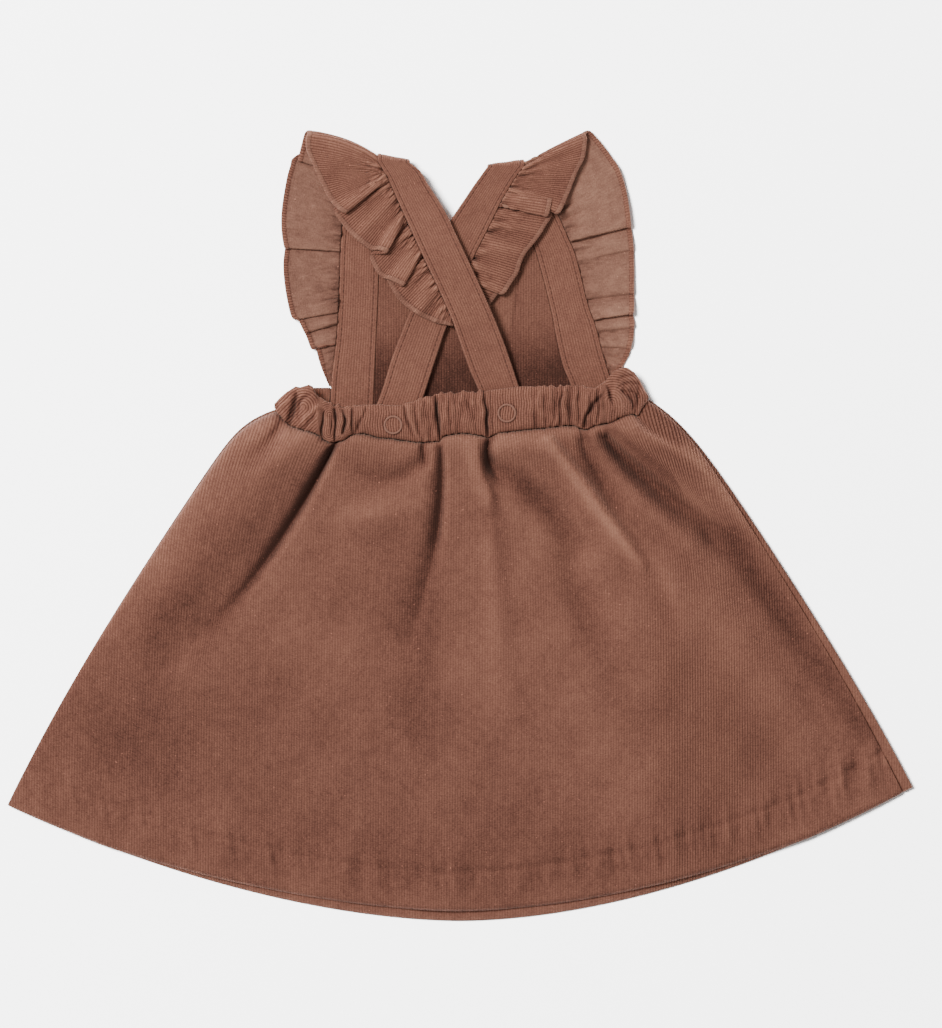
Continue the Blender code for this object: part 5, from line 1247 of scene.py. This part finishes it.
def makeRuffle(name, cut, front, back, strapFront, strapBack):
    # middle surface: straight from seam to hem, plus the bow as half a sine, plus the gathers. Its two sides
    # lie off it by half the thickness, with wales on the right side and a beaded hem. Returns the hem's
    # stitch lines too
    seam, hem, bow, place, outward = ruffleLines(cut, front, back, strapFront, strapBack)
    peak = np.argmax(hem[:, 1])
    length = np.linalg.norm(hem - seam, axis=1)
    hemPart = np.minimum(ruffle["hemWide"], 0.35 * length) / length
    r = np.concatenate([
        ruffleRows[:, None] / ruffleRows[-1] * (1.0 - hemPart) * 0.985,
        1.0 - hemPart * ruffleHemRows[:, None],
    ])
    fromSeam = r * length
    middle = seam * (1.0 - r[..., None]) + hem * r[..., None]
    middle[..., 2] += bow * np.sin(np.pi * r)
    # the shoulder fold stands out a little between seam and hem
    atTop = bell((place - place[peak]) / 11.0)
    middle = middle + (cut["puff"] * atTop * np.sin(np.pi * r) ** 0.8)[..., None] * outward
    # gathers: short ridges that start at the seam and die away, each as long as it likes
    crimp = unevenness(place + 0.12 * fromSeam, 0.0 * r, 6.0, cut["seeds"][0], 6)
    crimp = crimp + 0.5 * unevenness(place, fromSeam * 0.4, 3.0, cut["seeds"][1], 5)
    reach = ruffle["gatherReach"] * (1.0 + 0.5 * unevenness(place, 0.0 * r, 24.0, 59, 5))
    wide = smoothStep(length / 12.0)
    reach = bell(fromSeam / reach, 1.5) * wide
    middle[..., 2] += ruffle["gather"] * crimp * reach
    middle[..., 2] += 0.22 * unevenness(middle[..., 0], middle[..., 1], 13.0, 53) * smoothStep(r * 4.0)
    middle[..., 2] = np.maximum(middle[..., 2], ruffle["lowest"])
    normal = normalsOf(middle) * -cut["side"]
    inHem = smoothStep((r - (1.0 - hemPart)) / (0.2 * hemPart) + 0.5)
    half = (ruffle["half"] + ruffle["bead"] * inHem) * (0.35 + 0.65 * roundEdge((1.0 - r) / (0.5 * hemPart)))
    groove = bell(((1.0 - r) / hemPart - 1.04) / 0.10) * wide
    half = half - ruffle["groove"] * groove
    count = np.broadcast_to(np.arange(len(place)) / ruffle["samples"], r.shape)
    pile = waleProfile(count) * ruffle["waleHeight"] * (1.0 - inHem)
    face = middle + (half - 0.1 + pile)[..., None] * normal
    behind = middle - (half + waleProfile(count) * ruffle["hemWales"] * inHem)[..., None] * normal
    # shade: folds, the hem's groove, and dark along the seam, the more so on the front stretch
    onBack = smoothStep((np.arange(len(place)) - peak) / 12.0 + 0.5)
    shade = foldShade(middle) * 1.3 - 0.4 * groove - 0.3 * np.exp(-fromSeam / 2.0)
    shade = shade + 0.45 * crimp * reach * (2.0 * onBack - 1.0) + cut["lift"] * (1.0 - onBack)
    shade = shade - 0.35 * np.exp(-fromSeam / 7.0) * (1.0 - onBack)
    cloth = np.stack([count, fromSeam / wale], axis=-1)
    piece = clothSheet(name, face, behind, cloth, ruffleCloth, shade, 1, 2, inHem, 0.55 * inHem)
    at = len(ruffleRows)
    whole = length > 10.0
    stitches = [(side[at][whole], way * normal[at][whole]) for side, way in ((face, 1.0), (behind, -1.0))]
    return piece, stitches


backPanel, hemStitches = makeBackPanel()
frontPanel = makeFrontPanel()
print("skirt made")
backWaist = makeBackBand()
frontWaist = makeFrontBand()
bib = makeBib()
leftStrap, leftStitches = makeStrap("strap_left_cloth", leftStrapFront, leftStrapBack)
rightStrap, rightStitches = makeStrap("strap_right_cloth", rightStrapFront, rightStrapBack)
print("waistbands, bib and straps made")
leftRuffle, leftRuffleStitches = makeRuffle(
    "ruffle_left_cloth", leftRuffleCut, leftRuffleFront, leftRuffleBack, leftStrapFront, leftStrapBack)
rightRuffle, rightRuffleStitches = makeRuffle(
    "ruffle_right_cloth", rightRuffleCut, rightRuffleFront, rightRuffleBack, rightStrapFront, rightStrapBack)
leftSnap = makeSnap("snap_left", snaps["left"])
rightSnap = makeSnap("snap_right", snaps["right"])
print("ruffles and snaps made")
hemThread = makeStitches("skirt_back_stitches", hemStitches, 3.0, 2.3, 0.30)
leftThread = makeStitches("strap_left_stitches", leftStitches)
rightThread = makeStitches("strap_right_stitches", rightStitches)
leftRuffleThread = makeStitches("ruffle_left_stitches", leftRuffleStitches, 2.4, 1.7, 0.26)
rightRuffleThread = makeStitches("ruffle_right_stitches", rightRuffleStitches, 2.4, 1.7, 0.26)
print("stitches made")

# each piece, the node that it replaces, and its slot
shown = [
    (backPanel, "skirt_back", "corduroy"), (frontPanel, "skirt_front", "corduroy"),
    (backWaist, "waistband_back", "corduroy"), (frontWaist, "waistband_front", "corduroy"),
    (bib, "bib", "corduroy"), (leftStrap, "strap_left", "corduroy"), (rightStrap, "strap_right", "corduroy"),
    (leftRuffle, "ruffle_left", "ruffle_corduroy"), (rightRuffle, "ruffle_right", "ruffle_corduroy"),
    (leftSnap, "snap_ring_left", "snap"), (rightSnap, "snap_ring_right", "snap"),
    (hemThread, None, "corduroy"), (leftThread, None, "corduroy"), (rightThread, None, "corduroy"),
    (leftRuffleThread, None, "ruffle_corduroy"), (rightRuffleThread, None, "ruffle_corduroy"),
]
for piece, node, slotName in shown:
    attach(piece, "root")
    if node:
        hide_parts(node)

# places and sizes in metres, powers in watts
studio = {
    "floor": (0.90, 0.90, 0.90), "floorHalf": 6.0, "floorDrop": 0.00005, "world": 0.48,
    "keyPower": 222.0, "paperPower": 1300.0, "keySize": 1.4, "keyPlace": (-2.2, 1.35, 3.8),
    "cameraPlace": (0.0058, 0.0061, 2.2), "viewHeight": 0.5448,
}


def makeStudio():
    # a square pale floor just under the dress, two lamps, an even world and a camera that looks straight down
    mesh = bpy.data.meshes.new("floor")
    half = studio["floorHalf"]
    corners = [(-half, -half, 0), (half, -half, 0), (half, half, 0), (-half, half, 0)]
    mesh.from_pydata(corners, [], [(0, 1, 2, 3)])
    floor = addObject("floor", mesh)
    floor.location.z = -studio["floorDrop"]
    paper = bpy.data.materials.new("paper")
    paper.use_nodes = True
    shader = paper.node_tree.nodes["Principled BSDF"]
    shader.inputs["Base Color"].default_value = (*studio["floor"], 1.0)
    shader.inputs["Roughness"].default_value = 0.9
    shader.inputs["Specular IOR Level"].default_value = 0.2
    mesh.materials.append(paper)

    # a soft key light, and a stronger one in the same place that lights only the paper, to keep it pale
    onlyPaper = bpy.data.collections.new("paper")
    onlyPaper.objects.link(floor)
    for name, power in (("key", studio["keyPower"]), ("paperLight", studio["paperPower"])):
        light = bpy.data.lights.new(name, "AREA")
        light.energy, light.size = power, studio["keySize"]
        lamp = addObject(name, light)
        lamp.location = studio["keyPlace"]
        lamp.rotation_mode = "QUATERNION"
        lamp.rotation_quaternion = lamp.location.to_track_quat("Z", "Y")   # it shines at the origin
        if name == "paperLight":
            lamp.light_linking.receiver_collection = onlyPaper

    world = bpy.data.worlds.new("soft light")
    world.use_nodes = True
    background = world.node_tree.nodes["Background"]
    background.inputs["Color"].default_value = (1.0, 1.0, 1.0, 1.0)
    background.inputs["Strength"].default_value = studio["world"]
    bpy.context.scene.world = world

    # lens to sensor is as the camera's distance to the height of the view; the frame is taller than wide
    lens = bpy.data.cameras.new("camera")
    lens.lens = lens.sensor_width * studio["cameraPlace"][2] / studio["viewHeight"]
    camera = addObject("camera", lens)
    camera.location = studio["cameraPlace"]
    bpy.context.scene.camera = camera


makeStudio()
